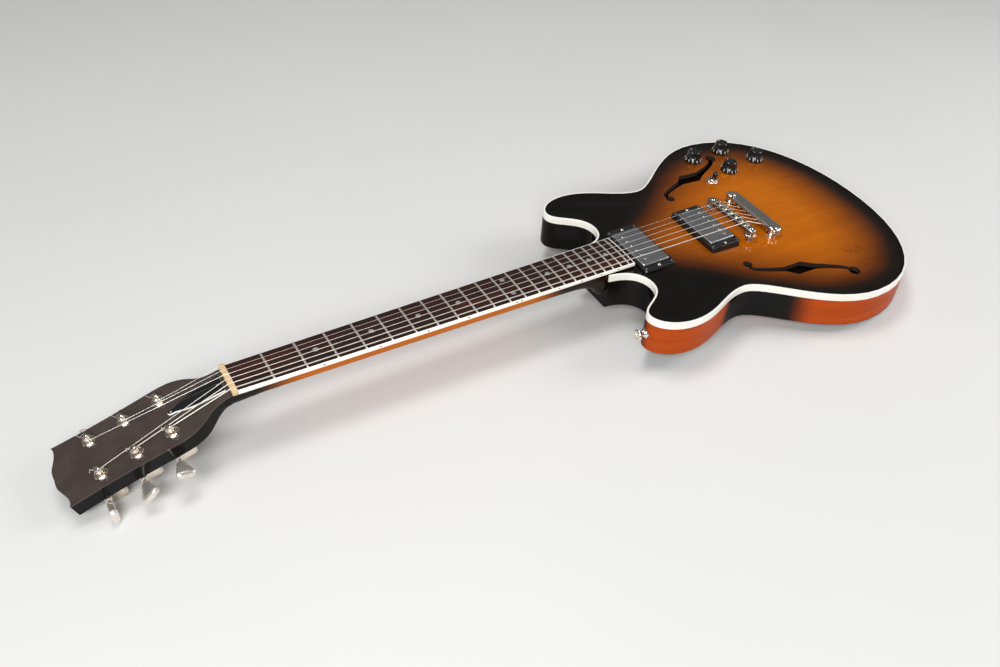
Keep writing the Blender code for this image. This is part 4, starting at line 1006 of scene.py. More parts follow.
def grid_tree():
    """Copies of the shape at the crossings of a flat grid, each turned a step further."""
    tree, entry, leave = new_tree("grid_of_copies", [
        ("Columns", "NodeSocketInt", 2), ("Rows", "NodeSocketInt", 2),
        ("Size X", FLOAT, 0.01), ("Size Y", FLOAT, 0.01),
        ("Centre", VECTOR, (0, 0, 0)), ("Turn step", FLOAT, 0.7)])
    grid = node(tree, "GeometryNodeMeshGrid", {
        "Size X": entry.outputs["Size X"], "Size Y": entry.outputs["Size Y"],
        "Vertices X": entry.outputs["Columns"], "Vertices Y": entry.outputs["Rows"]})
    spots = node(tree, "GeometryNodeTransform", {
        "Geometry": grid.outputs["Mesh"], "Translation": entry.outputs["Centre"]})
    number = node(tree, "GeometryNodeInputIndex").outputs[0]
    angle = maths(tree, "MULTIPLY_ADD", number, entry.outputs["Turn step"], 0.4)
    turn = node(tree, "ShaderNodeCombineXYZ", {"Z": angle}).outputs[0]
    copies = node(tree, "GeometryNodeInstanceOnPoints",
                  {"Points": spots.outputs[0], "Instance": entry.outputs["Shape"], "Rotation": turn})
    close_tree(tree, entry, leave, copies.outputs[0])
    return tree


def fret_tree():
    """Fret wires set by the twelfth root of two, each as long as the board is wide and bent to its crown."""
    tree, entry, leave = new_tree("fret_wires", [
        ("Count", "NodeSocketInt", FRETS), ("Scale length", FLOAT, SCALE_LENGTH),
        ("Half width", FLOAT, NUT_HALF), ("Flare", FLOAT, BOARD_FLARE),
        ("Crown radius", FLOAT, BOARD_RADIUS)])
    line = node(tree, "GeometryNodeMeshLine", {"Count": entry.outputs["Count"], "Offset": (0, 0, 0)})
    number = node(tree, "GeometryNodeInputIndex").outputs[0]
    power = product(tree, maths(tree, "ADD", number, 1.0), -1 / 12)
    share = rest_of(tree, maths(tree, "POWER", 2.0, power))
    along = product(tree, share, entry.outputs["Scale length"])
    spot = node(tree, "ShaderNodeCombineXYZ", {"X": along}).outputs[0]
    set_out = node(tree, "GeometryNodeSetPosition", {"Geometry": line.outputs[0], "Position": spot})
    half = maths(tree, "MULTIPLY_ADD", along, entry.outputs["Flare"], entry.outputs["Half width"])
    size = node(tree, "ShaderNodeCombineXYZ", {"X": 1.0, "Y": half, "Z": 1.0}).outputs[0]
    kept = node(tree, "GeometryNodeCaptureAttribute", {"Geometry": set_out.outputs[0]})
    kept.capture_items.new("VECTOR", "size")
    tree.links.new(size, kept.inputs["size"])
    copies = node(tree, "GeometryNodeInstanceOnPoints", {
        "Points": kept.outputs["Geometry"],
        "Instance": entry.outputs["Shape"],
        "Scale": kept.outputs["size"]})

    def bend(real):
        position = node(tree, "GeometryNodeInputPosition").outputs[0]
        across = node(tree, "ShaderNodeSeparateXYZ", {"Vector": position}).outputs["Y"]
        square = product(tree, across, across)
        twice = product(tree, entry.outputs["Crown radius"], -2.0)
        drop = node(tree, "ShaderNodeCombineXYZ", {"Z": maths(tree, "DIVIDE", square, twice)}).outputs[0]
        return node(tree, "GeometryNodeSetPosition", {"Geometry": real, "Offset": drop}).outputs[0]

    close_tree(tree, entry, leave, copies.outputs[0], bend)
    return tree


RING_TREE = ring_tree()
ROW_TREE = row_tree()
GRID_TREE = grid_tree()
FRET_TREE = fret_tree()


def repeated(mesh, tree, finish, sharp=35, **inputs):
    """The mesh that a tree makes from a shape, with its inputs set by the names of its sockets."""
    item = temporary(mesh)
    modifier = item.modifiers.new(tree.name, "NODES")
    modifier.node_group = tree
    wanted = {label.replace("_", " "): value for label, value in inputs.items()}
    wanted["Finish"] = finish
    for socket in tree.interface.items_tree:
        if socket.item_type == "SOCKET" and socket.in_out == "INPUT" and socket.name in wanted:
            modifier[socket.identifier] = wanted[socket.name]
    return applied(item, sharp)


# Body

def nearest(points):
    """A function that gives the distance from a place to the closest of the points."""
    tree = KDTree(len(points))
    for number, point in enumerate(points):
        tree.insert((point.x, point.y, 0), number)
    tree.balance()
    return lambda x, y: tree.find((x, y, 0))[2]


def inside(loop, x, y):
    """Whether a place lies inside a closed loop."""
    found = False
    for a, b in zip(loop, loop[1:] + loop[:1]):
        if (a.y > y) != (b.y > y) and x < (b.x - a.x) * (y - a.y) / (b.y - a.y) + a.x:
            found = not found
    return found


def dense(loop):
    """The loop with points added, no two further than a millimetre apart."""
    step = 0.001
    points = []
    for a, b in zip(loop, loop[1:] + loop[:1]):
        count = max(1, math.ceil((b - a).length / step))
        points += [a.lerp(b, number / count) for number in range(count)]
    return points


def board_half(x):
    """Half the fingerboard's width at a distance from the nut."""
    return NUT_HALF + BOARD_FLARE * max(x, 0)


def crown(y):
    """Height of the rounded fingerboard against its middle line, never above 0."""
    return -y * y / (2 * BOARD_RADIUS)


def bridge_post_spot(side):
    return BRIDGE_X - side * BRIDGE_POST * math.sin(BRIDGE_SLANT), side * BRIDGE_POST


def tail_stud_spot(side):
    return TAIL_STUD[0], side * TAIL_STUD[1]


def stud_holes():
    """Place and radius of the holes under the bridge's posts and the tailpiece's studs."""
    holes = [(bridge_post_spot(side), BRIDGE_POST_HOLE) for side in (-1, 1)]
    return holes + [(tail_stud_spot(side), TAIL_STUD_HOLE) for side in (-1, 1)]


def pickup_cavities():
    return [rounded_rectangle(*CAVITY_HALF, 0.003, 3, (middle, 0)) for middle in (NECK_PICKUP, BRIDGE_PICKUP)]


def top_outline():
    half = body_half(BODY_BINDING_WIDE)
    notch = board_half(BOARD_END) + SEAM
    notch_end = (BOARD_END - BODY_ORIGIN.x) / math.cos(BODY_TILT) + 0.0009
    kept = [p for p in half if p.y > notch + 0.001 or p.x > 0.1]
    edge = [Vector((notch_end, notch)), Vector((kept[0].x - 0.0004, notch))] + kept
    return both_halves(edge)


def top_holes():
    treble = sound_hole()
    holes = [treble, mirrored(treble)] + pickup_cavities()
    holes += [circle(radius, spot, 12) for spot, radius in stud_holes()]
    holes += [circle(KNOB_SHAFT_HOLE, spot, 16) for spot in KNOBS]
    holes.append(circle(SWITCH_HOLE, TOGGLE, 16))
    return holes


def build_top():
    """The top: a fine sheet with a shallow dip inside the rim, thickened downward."""
    outline = top_outline()
    loops = [outline] + top_holes()
    to_loops = nearest([point for loop in loops for point in dense(loop)])
    to_rim = nearest(dense(body_outline()))
    burst_half = bezier_half(BURST_SPANS, 24)
    burst_loop = burst_half + mirrored(reversed(burst_half[1:-1]))
    to_burst = nearest(dense(burst_loop))
    points = []
    edges = []
    for loop in loops:
        start = len(points)
        points += loop
        edges += [(start + i, start + (i + 1) % len(loop)) for i in range(len(loop))]
    for row in range(-46, 47):
        for column in range(-9, 100):
            x = (column + 0.5 * (row % 2)) * TOP_MESH_PITCH
            y = row * TOP_MESH_PITCH * 0.87
            if inside(outline, x, y) and to_loops(x, y) > TOP_MESH_CLEAR:
                if not any(inside(hole, x, y) for hole in loops[1:]):
                    points.append(Vector((x, y)))
    result = delaunay_2d_cdt(points, edges, [], 1, 0.0000001, False)
    work = bmesh.new()
    verts = []
    depth = work.verts.layers.float.new("burst_depth")
    for spot in result[0]:
        rim = to_rim(spot.x, spot.y)
        dip = RIM_DIP * math.sin(math.pi * min(rim / RIM_DIP_WIDE, 1.0)) if rim < RIM_DIP_WIDE else 0.0
        vertex = work.verts.new((spot.x, spot.y, -dip))
        side = 1 if inside(burst_loop, spot.x, spot.y) else -1
        vertex[depth] = BURST_EDGE + side * to_burst(spot.x, spot.y) / BURST_REACH
        verts.append(vertex)
    for face in result[2]:
        middle = sum((result[0][i] for i in face), Vector((0, 0))) / len(face)
        if inside(outline, *middle) and not any(inside(hole, *middle) for hole in loops[1:]):
            work.faces.new([verts[i] for i in face])
    for vertex in [v for v in work.verts if not v.link_faces]:
        work.verts.remove(vertex)
    for face in work.faces:
        if face.normal.z < 0 or face.calc_area() == 0:
            face.normal_flip()
    mesh = bpy.data.meshes.new("body_top")
    work.to_mesh(mesh)
    work.free()
    item = temporary(mesh)
    wall = item.modifiers.new("thickness", "SOLIDIFY")
    wall.thickness = TOP_THICK
    wall.offset = -1
    # The top's underside and its cut walls, round the sound holes too, take the wood coloured as painted
    # shade.
    wall.material_offset = 1
    wall.material_offset_rim = 1
    mesh.materials.append(TOP_FINISH)
    mesh.materials.append(PAINTED_SHADE_WOOD)
    piece("top", applied(item, 50), BODY_FRAME, TOP_FINISH, nodes=["body_top"])


def build_binding():
    wide = BODY_BINDING_WIDE
    profile = (
        (0, -BINDING_HIGH), (0, -0.0007), (0.00010, -0.00035), (0.00035, -0.0001), (0.0007, 0.00005),
        (wide - 0.0004, 0.00005), (wide, -0.0002), (wide, -BINDING_HIGH),
    )
    rings = [body_half(inset) for inset, _ in profile]
    work = bmesh.new()
    for side in (1, -1):
        rows = [[work.verts.new((p.x, p.y * side, z)) for p in ring]
                for ring, (_, z) in zip(rings, profile)]
        for first, second in zip(rows, rows[1:] + rows[:1]):
            for index in range(len(first) - 1):
                work.faces.new((first[index], first[index + 1], second[index + 1], second[index]))
        work.faces.new([row[0] for row in rows])
    bmesh.ops.remove_doubles(work, verts=work.verts, dist=0.00001)
    piece("body_binding_strip", finished(work, "binding", 50), BODY_FRAME, CREAM,
          nodes=["body_binding"])


def build_back():
    """Rim, back and block in one, hollow on both sides of the block."""
    rings = [flat(body_outline(inset), -BODY_DEPTH + rise) for inset, rise in rounding(0.0030, 5)]
    for inset, z in ((0.0, -BODY_DEPTH / 2), (0.0, -BINDING_HIGH),
                     (BODY_BINDING_WIDE, -BINDING_HIGH), (BODY_BINDING_WIDE, -TOP_THICK)):
        rings.append(flat(body_outline(inset), z))
    body = skin("back", rings)
    body.materials.append(SIDE_FINISH)
    floor = -BODY_DEPTH + FLOOR_THICK
    inner = [p for p in body_half(RIM_WALL, 6) if p.y > BLOCK_HALF]
    start = Vector((inner[0].x, BLOCK_HALF))
    finish = Vector((inner[-1].x, BLOCK_HALF))
    cutters = []
    for side in (-1, 1):
        chamber = [Vector((p.x, p.y * side)) for p in [start] + inner + [finish]]
        room = plate("chamber", [chamber], floor, 0.002)
        # The chambers' walls take the wood coloured as painted shade.
        room.materials.append(PAINTED_SHADE_WOOD)
        cutters.append(room)
    cutters.append(block((NECK_END - 0.004, -0.0213, -0.0343), (0.0073, 0.0213, 0.002)))
    cutters += [plate("cavity", [cavity], -0.030, 0.002) for cavity in pickup_cavities()]
    cutters += [rod(radius, -0.026, 0.002, spot) for spot, radius in stud_holes()]
    recess = rounded_rectangle(*CONTROL_HALF, 0.012, 6, CONTROL_CENTRE)
    opening = scaled(recess, 0.006, CONTROL_CENTRE)
    cutters.append(plate("recess", [recess], -BODY_DEPTH - 0.002, -BODY_DEPTH + 0.0027))
    cutters.append(plate("opening", [opening], -BODY_DEPTH - 0.002, floor + 0.002))
    cutters.append(moved(rod(0.0064, -0.012, 0.012), set_at((JACK_X, 0.1865, JACK_Z), QUARTER, "X")))
    piece("rim_and_back", cut_away(body, cutters, 40), BODY_FRAME, SIDE_FINISH,
          nodes=["body_back"])


def screw_head(radius, high, cross=False):
    """A domed screw head with a slot, or with a cross."""
    profile = [(0, high), (radius * 0.45, high * 0.96), (radius * 0.80, high * 0.74), (radius, high * 0.25),
               (radius, 0), (0, 0)]
    head = turned("screw", profile, 20)
    wide = radius * 0.17
    reach = radius * (0.62 if cross else 1.2)
    slots = [block((-reach, -wide, high * 0.45), (reach, wide, high * 2))]
    if cross:
        slots.append(block((-wide, -reach, high * 0.45), (wide, reach, high * 2)))
    return cut_away(head, slots)


def screws(name, place, finish, radius, high, centre, size, columns=2, rows=2, cross=True, under=False):
    """One piece of equal screw heads at the crossings of a grid, of (x, y) size about its centre."""
    head = screw_head(radius, high, cross)
    if under:
        head.transform(Matrix.Rotation(math.pi, 4, "X"))
    heads = repeated(head, GRID_TREE, finish, Columns=columns, Rows=rows, Size_X=size[0], Size_Y=size[1],
                     Centre=centre, Turn_step=0.7)
    return piece(name, heads, place, finish)


def build_control_cover():
    outline = rounded_rectangle(*(half - SEAM for half in CONTROL_HALF), 0.012, 8, CONTROL_CENTRE)
    low = -BODY_DEPTH + 0.0002
    piece("rear_control_cover", plate("cover", [outline], low, low + 0.0022), BODY_FRAME, BLACK_PLASTIC,
          nodes=["control_cover"], ease=0.0004)
    screws("rear_cover_screws", BODY_FRAME, SCREW_STEEL, 0.0028, 0.0008, (*CONTROL_CENTRE, low + 0.0002),
           (0.090, 0.056), under=True)


# Neck and headstock

def neck_ring(x, half, top, bottom, blend, lean):
    """One section of the neck, under the fingerboard from edge to edge. A low blend makes it square."""
    steps = 28
    points = []
    for step in range(steps + 1):
        angle = math.pi * step / steps
        y = -half * math.copysign(abs(math.cos(angle)) ** blend, math.cos(angle))
        z = top - (top - bottom) * math.sin(angle) ** blend
        points.append(Vector((x + (z - BODY_ORIGIN.z) * lean, y, z)))
    return points


def narrow_throat(mesh, middle):
    """Draws in the headstock's lower corners beside the nut, where they run into the round of the neck."""
    for vertex in mesh.vertices:
        if vertex.co.z < middle:
            share = min(max(1 + vertex.co.x / THROAT_LONG, 0), 1)
            vertex.co.y *= 1 - THROAT_SLIM * share * share * (3 - 2 * share)


def build_neck():
    top = -BOARD_THICK - SEAM / 2
    face_x = (BODY_IN_NECK @ Vector((NECK_END - 0.0001, 0, 0))).x
    lean = math.tan(BODY_TILT)
    # Along the neck: x, half width, top, bottom, blend and lean
    stations = (
        (-0.0200, 0.0204, -0.0120, -0.0226, 0.46, 0.0),
        (-0.0100, 0.0206, -0.0080, -0.0218, 0.52, 0.0),
        (-0.0060, 0.0207, top, -0.0215, 0.58, 0.0),
        (0.0, board_half(0), top, -0.0212, 0.66, 0.0),
        (0.016, board_half(0.016), top, -0.0212, 0.78, 0.0),
        (0.036, board_half(0.036), top, -0.0213, 0.86, 0.0),
        (0.157, board_half(0.157), top, -0.0222, 0.88, 0.0),
        (0.314, board_half(0.314), top, -0.0233, 0.88, 0.0),
        (0.380, board_half(0.380), top, -0.0245, 0.86, 0.0),
        (0.400, board_half(0.400), top, -0.0290, 0.82, 0.0),
        (0.410, board_half(0.410), top, -0.0350, 0.78, 0.25 * lean),
        (0.4165, board_half(0.4165), top, -0.0415, 0.72, 0.6 * lean),
        (face_x, board_half(0.422), top, -0.0468, 0.62, lean),
    )
    shaft = skin("shaft", [neck_ring(*station) for station in smooth_line(stations, 5)], sharp=50)
    under = -VENEER - SEAM / 2
    blank = plate("blank", [head_outline()], under - HEAD_THICK, under)
    narrow_throat(blank, under - HEAD_THICK / 2)
    blank.transform(HEAD_IN_NECK)
    tongue_rings = []
    for x in (face_x - 0.0008, BOARD_END - SEAM):
        half = board_half(x) - 0.0002
        low = BODY_ORIGIN.z - (x - BODY_ORIGIN.x) * lean - TOP_THICK
        corners = ((-half, low), (half, low), (half, top), (-half, top))
        tongue_rings.append([Vector((x, y, z)) for y, z in corners])
    tongue = skin("tongue", tongue_rings)
    tenon = block((NECK_END - 0.0012, -0.021, -0.034), (0.0070, 0.021, -TOP_THICK + 0.001))
    tenon.transform(BODY_IN_NECK)
    pocket = moved(plate("pocket", [rod_pocket()], -0.0105, 0.002), HEAD_IN_NECK)
    holes = [moved(rod(POST_HOLE, -0.020, 0.002, spot), HEAD_IN_NECK) for spot in post_spots()]
    whole = cut_away(shaft, [pocket] + holes, 40, added=[blank, tongue, tenon])
    piece("neck_and_headstock", whole, NECK_FRAME, NECK_FINISH, nodes=["neck"])


def build_head_face():
    holes = [circle(POST_HOLE, spot, 20) for spot in post_spots()]
    holes.append(rod_pocket())
    piece("headstock_face", plate("face", [head_outline()] + holes, -VENEER, 0), HEAD_FRAME, HEAD_FINISH,
          nodes=["headstock_veneer"], ease=0.0003)


def build_rod_cover():
    """Bell-shaped cover: a black face over a thin white layer that shows as its edge."""
    spans = (
        ((0.0030, 0.0120), (0.012, 0.0112), (0.020, 0.0110), (0.030, 0.0098)),
        ((0.030, 0.0098), (0.040, 0.0086), (0.047, 0.0050), (0.052, 0.0034)),
        ((0.052, 0.0034), (0.056, 0.0034), (0.0590, 0.0026), (0.0590, 0.0)),
    )
    half = bezier_half(spans, 8)
    outline = both_halves([Vector((-p.x, p.y)) for p in half])
    slim = inset_half(half, 0.0008)
    slim[0].x = 0.0030
    inner = both_halves([Vector((-p.x, p.y)) for p in slim])
    lower = skin("white_layer", [flat(outline, SEAM), flat(outline, 0.0009), flat(inner, 0.0016)])
    piece("rod_cover_edge", lower, HEAD_FRAME, MARK_WHITE, nodes=["truss_rod_cover"])
    upper = skin("black_layer", [flat(inner, 0.0016), flat(inner, 0.0020)])
    piece("rod_cover_face", upper, HEAD_FRAME, KNOB_BLACK)
    screws("rod_cover_screws", HEAD_FRAME, SCREW_STEEL, 0.0013, 0.0006,
           (-0.0315, 0, 0.0020), (0.0480, 0), rows=1)


def build_fingerboard():
    """The board between its bindings, crowned, and its frets."""
    board_long = BOARD_END - BINDING_WIDE
    nut_half, end_half = (board_half(x) - BINDING_WIDE for x in (0, board_long))
    rings = []
    for share in range(25):
        x = board_long * share / 24
        wide = nut_half + (end_half - nut_half) * share / 24
        ring = [Vector((x, wide, -BOARD_THICK))]
        for step in range(13):
            y = wide * (1 - step / 6)
            ring.append(Vector((x, y, crown(y))))
        ring.append(Vector((x, -wide, -BOARD_THICK)))
        rings.append(ring)
    piece("fingerboard", skin("board", rings), NECK_FRAME, BOARD_FINISH,
          nodes=["fretboard"])
    work = bmesh.new()
    rows = []
    profile = [(-1.0, -0.0004), (-1.0, 0.25), (-0.80, 0.66), (-0.42, 0.93), (0, 1.0),
               (0.42, 0.93), (0.80, 0.66), (1.0, 0.25), (1.0, -0.0004)]
    for step in range(15):
        y = (1 - 2 * step / 14) * (1 - BINDING_WIDE / 0.0245)
        tall = FRET_HIGH * (0.62 if step in (0, 14) else 1.0)
        rows.append([work.verts.new((across * FRET_WIDE / 2, y, high * tall - 0.0001))
                     for across, high in profile])
    for first, second in zip(rows, rows[1:]):
        for index in range(len(profile) - 1):
            work.faces.new((first[index], first[index + 1], second[index + 1], second[index]))
        work.faces.new((first[-1], first[0], second[0], second[-1]))
    work.faces.new(rows[0])
    work.faces.new(rows[-1])
    wires = repeated(finished(work, "fret", 50), FRET_TREE, FRET_METAL, 50, Count=FRETS,
                     Scale_length=SCALE_LENGTH, Half_width=NUT_HALF, Flare=BOARD_FLARE,
                     Crown_radius=BOARD_RADIUS)
    piece("frets", wires, NECK_FRAME, FRET_METAL)


def build_dots():
    """Pearl dots in the board's face, two at the octave, and black dots on the side of the binding."""
    spots = []
    sides = []
    for number in DOT_FRETS:
        middle = (fret_x(number) + fret_x(number - 1)) / 2
        spots += [(middle, y) for y in ((-0.0124, 0.0124) if number == 12 else (0.0,))]
        sides += [middle - 0.003, middle + 0.003] if number == 12 else [middle]
    dots = []
    profile = [(0, 0.00012), (0.0026, 0.00012), (0.0030, 0.00002), (0.0030, -0.0008), (0, -0.0008)]
    for x, y in spots:
        dots.append(moved(turned("dot", profile, 24), set_at((x, y, crown(y)), y / BOARD_RADIUS, "X")))
    piece("pearl_dots", merged("dots", dots), NECK_FRAME, PEARL)
    marks = []
    profile = [(0, 0.00005), (0.0009, 0.00005), (0.0009, -0.0004), (0, -0.0004)]
    for x in sides:
        marks.append(moved(turned("mark", profile, 16), set_at((x, -board_half(x), -0.0026), QUARTER, "X")))
    piece("side_dots", merged("marks", marks), NECK_FRAME, DOT_BLACK)


def build_board_binding():
    """A strip along both sides of the board and round its end, level with the board's crown."""

    def strip_ring(x, side):
        out = board_half(x) * side
        inn = (board_half(x) - BINDING_WIDE) * side
        edge = crown(board_half(x))
        ring = [(out, -BOARD_THICK), (out, edge - 0.0005), (out - 0.00012 * side, edge - 0.0002),
                (out - 0.0004 * side, edge), (inn, crown(inn) + 0.00003), (inn, -BOARD_THICK)]
        return [Vector((x, y, z)) for y, z in ring]

    strips = []
    for side in (1, -1):
        strips.append(skin("strip", [strip_ring(BOARD_END * share / 24, side) for share in range(25)]))
    end_rings = []
    start = BOARD_END - BINDING_WIDE
    for step in range(13):
        y = board_half(BOARD_END) * (1 - step / 6) * 0.995
        z = crown(y) + 0.00003
        section = ((start, -BOARD_THICK), (start, z), (BOARD_END - 0.0003, z),
                   (BOARD_END, z - 0.0003), (BOARD_END, -BOARD_THICK))
        end_rings.append([Vector((x, y, height)) for x, height in section])
    strips.append(skin("end", end_rings))
    piece("fingerboard_binding", merged("binding", strips), NECK_FRAME, CREAM,
          nodes=["fretboard_binding"])


def string_y(index, spacing):
    return (index - 2.5) * spacing


def nut_height(index):
    return crown(string_y(index, NUT_SPACING)) + FRET_HIGH + STRING_OVER_FRET + STRING_RADII[index]


def build_nut():
    """Crowned block with a slot for each string, seen along the neck."""
    outline = [(-NUT_HALF, -BOARD_THICK), (-NUT_HALF, 0.0002), (-NUT_HALF + 0.0006, 0.0011)]
    for index, radius in enumerate(STRING_RADII):
        y = string_y(index, NUT_SPACING)
        rim = crown(y) + FRET_HIGH + 0.0010
        low = nut_height(index) - radius - 0.00005
        wide = radius + 0.00012
        outline += [(y - wide - 0.0002, rim), (y - wide, rim - 0.0003), (y - wide, low),
                    (y + wide, low), (y + wide, rim - 0.0003), (y + wide + 0.0002, rim)]
    outline += [(NUT_HALF - 0.0006, 0.0011), (NUT_HALF, 0.0002), (NUT_HALF, -BOARD_THICK)]
    blank = plate("nut", [[Vector(corner) for corner in outline]], 0, NUT_LONG)
    on_edge = Matrix(((0, 0, 1, 0), (1, 0, 0, 0), (0, 1, 0, 0), (0, 0, 0, 1)))
    place = NECK_FRAME @ Matrix.Translation((-SEAM - NUT_LONG, 0, 0)) @ on_edge
    piece("string_nut", blank, place, NUT_TAN_REFLECTION, nodes=["nut"], ease=0.0003)


# Pickups

def body_top_at(x):
    """Height of the body's top in the neck's frame."""
    return BODY_ORIGIN.z - (x - BODY_ORIGIN.x) * math.tan(BODY_TILT)


def saddle_x(index):
    return SCALE_LENGTH + SADDLE_BACK[index]


def saddle_height(index):
    return STRING_AT_BRIDGE + crown(string_y(index, BRIDGE_SPACING))


def string_across(index, x):
    """How far a string runs from the middle line at a distance from the nut."""
    share = x / saddle_x(index)
    return string_y(index, NUT_SPACING) * (1 - share) + string_y(index, BRIDGE_SPACING) * share


def build_pickup(label, middle, ring_mean, cover_over):
    centre = (BODY_IN_NECK @ Vector((middle, 0, 0))).x
    top_at = body_top_at(centre)
    ring_top = top_at + ring_mean
    cover_top = top_at + cover_over
    outer = rounded_rectangle(*RING_HALF, 0.004, 8, (centre, 0))
    inner = rounded_rectangle(*(half + 0.0005 for half in COVER_HALF), 0.0025, 8, (centre, 0))
    seat, seat_in = ([Vector((p.x, p.y, body_top_at(p.x) + 0.0001)) for p in edge]
                     for edge in (outer, inner))
    rings = [seat, flat(scaled(outer, 0.0006, (centre, 0)), ring_top - 0.0010),
             flat(scaled(outer, 0.0009, (centre, 0)), ring_top - 0.0004),
             flat(scaled(outer, 0.0016, (centre, 0)), ring_top),
             flat(scaled(inner, -0.0005, (centre, 0)), ring_top), flat(inner, ring_top - 0.0005), seat_in]
    piece(f"{label}_ring", skin("ring", rings, closed=True), NECK_FRAME, BLACK_PLASTIC,
          nodes=[f"{label}_pickup_ring"])
    shell = rounded_rectangle(*COVER_HALF, 0.0030, 8, (centre, 0))
    rings = [flat(scaled(shell, 0.0040, (centre, 0)), cover_top)]
    for inset, drop in rounding(0.0017, 5):
        rings.append(flat(scaled(shell, inset, (centre, 0)), cover_top - drop))
    rings.append(flat(shell, cover_top - 0.0150))
    piece(f"{label}_cover", skin("cover", rings, sharp=50), NECK_FRAME, COVER_NICKEL,
          nodes=[f"{label}_pickup_cover"])
    pole_x = centre + (-1 if label == "neck" else 1) * 0.0093
    first = string_across(0, centre)
    pitch = (string_across(5, centre) - first) / 5
    poles = repeated(screw_head(0.0022, 0.0007), ROW_TREE, SCREW_STEEL, Count=6,
                     Start=(pole_x, first, cover_top - 0.0001), Step=(0, pitch, 0))
    piece(f"{label}_pole_screws", poles, NECK_FRAME, SCREW_STEEL)
    screws(f"{label}_height_screws", NECK_FRAME, BRIGHT_NICKEL, 0.0020, 0.0011, (centre, 0, ring_top),
           (0, 0.079), columns=1, cross=False)
    screws(f"{label}_ring_screws", NECK_FRAME, RAW_STEEL, 0.0014, 0.0007,
           (centre, 0, ring_top - 0.0001), (0.037, 0.079))


# Bridge and tailpiece

def saddle_seats():
    """Where each string lies on its saddle, in the bridge's own frame, with the string's radius."""
    seats = []
    for index, radius in enumerate(STRING_RADII):
        under = saddle_height(index) - radius - 0.0001
        spot = Vector((saddle_x(index), string_y(index, BRIDGE_SPACING), under))
        seats.append((BRIDGE_ON_BODY.inverted() @ (BODY_IN_NECK.inverted() @ spot), radius))
    return seats


def build_bridge_bar():
    low, high = BRIDGE_BAR
    outline = rounded_rectangle(0.0058, 0.0440, 0.0055, 8)
    rings = [flat(scaled(outline, 0.0008), low), flat(outline, low + 0.0008), flat(outline, high - 0.0012),
             flat(scaled(outline, 0.0004), high - 0.0004), flat(scaled(outline, 0.0012), high)]
    bar = skin("bar", rings)
    slots = [rod(0.0030, 0, 0.03, (0, side * BRIDGE_POST)) for side in (-1, 1)]
    for seat, _ in saddle_seats():
        slots.append(block((-0.0043, seat.y - 0.0037, high - 0.0038),
                           (0.0043, seat.y + 0.0037, high + 0.004)))
    piece("bridge_bar", cut_away(bar, slots, 45), BODY_FRAME @ BRIDGE_ON_BODY, NICKEL,
          nodes=["bridge"])


def build_saddles():
    """Six saddles with a groove each, and the screws that set them along the bridge."""
    high = BRIDGE_BAR[1]
    place = BODY_FRAME @ BRIDGE_ON_BODY
    saddles = []
    heads = []
    for seat, radius in saddle_seats():
        rings = []
        for z, reach, half in ((high - 0.0038, 0.0022, 0.0033), (seat.z - 0.0022, 0.0020, 0.0033),
                               (seat.z - 0.0006, 0.0007, 0.0029), (seat.z, 0.0004, 0.0024)):
            corners = ((-reach, -half), (reach, -half), (reach, half), (-reach, half))
            rings.append([Vector((seat.x + x, seat.y + y, z)) for x, y in corners])
        groove = rod(radius + 0.00005, -0.01, 0.01, steps=12)
        groove.transform(set_at((seat.x, seat.y, seat.z + radius), QUARTER, "Y"))
        saddles.append(cut_away(skin("saddle", rings), [groove]))
        screw = turned("shaft", [(0, 0.0052), (0.0008, 0.0050), (0.0009, -0.0050), (0, -0.0050)], 10)
        head = moved(screw_head(0.0016, 0.0009), Matrix.Translation((0, 0, 0.0050)))
        both = merged("adjuster", [screw, head])
        heads.append(moved(both, set_at((0, seat.y, high - 0.0024), -QUARTER, "Y")))
    piece("saddles", merged("saddles", saddles), place, SCREW_STEEL)
    piece("saddle_screws", merged("saddle_screws", heads), place, BRIGHT_NICKEL)


def build_bridge_posts():
    """Two slotted posts, each with its fluted thumbwheel under the bridge."""
    low = BRIDGE_BAR[0]
    for number, side in ((1, -1), (2, 1)):
        spot = Matrix.Translation((*bridge_post_spot(side), 0))
        wheel = turned("wheel", [
            (0.0024, low - SEAM), (0.0076, low - SEAM), (0.0082, low - 0.0006), (0.0082, low - 0.0018),
            (0.0076, low - 0.0021), (0.0024, low - 0.0021)], flutes=30, flute_deep=0.00035, flute_rows=(2, 3))
        stem = turned("stem", [
            (0, 0.0166), (0.0018, 0.0166), (0.0026, 0.0160), (0.0026, low), (0.0024, low - 0.002),
            (0.0024, 0.0016), (0.0050, 0.0010), (0.0053, 0.0001), (0.0024, 0.0001), (0.0024, -0.0240),
            (0, -0.0240)], 24)
        slot = block((-0.004, -0.0004, 0.0157), (0.004, 0.0004, 0.02))
        post = merged(f"post_{number}", [wheel, cut_away(stem, [slot])])
        piece(f"bridge_post_and_wheel_{number}", post, BODY_FRAME @ spot, BRIGHT_NICKEL,
              nodes=[f"bridge_post_{number}"])


def bar_section(half_long, low, high):
    """One section of the stop bar: nearly square underneath and rounder over the top."""
    steps = 32
    middle = (low + high) / 2
    half_high = (high - low) / 2
    points = []
    for step in range(steps):
        angle = 2 * math.pi * step / steps
        c = math.cos(angle)
        s = math.sin(angle)
        power = 0.62 if s > 0 else 0.45
        x = half_long * math.copysign(abs(c) ** power, c)
        z = middle + half_high * math.copysign(abs(s) ** power, s)
        points.append((x, z))
    return points


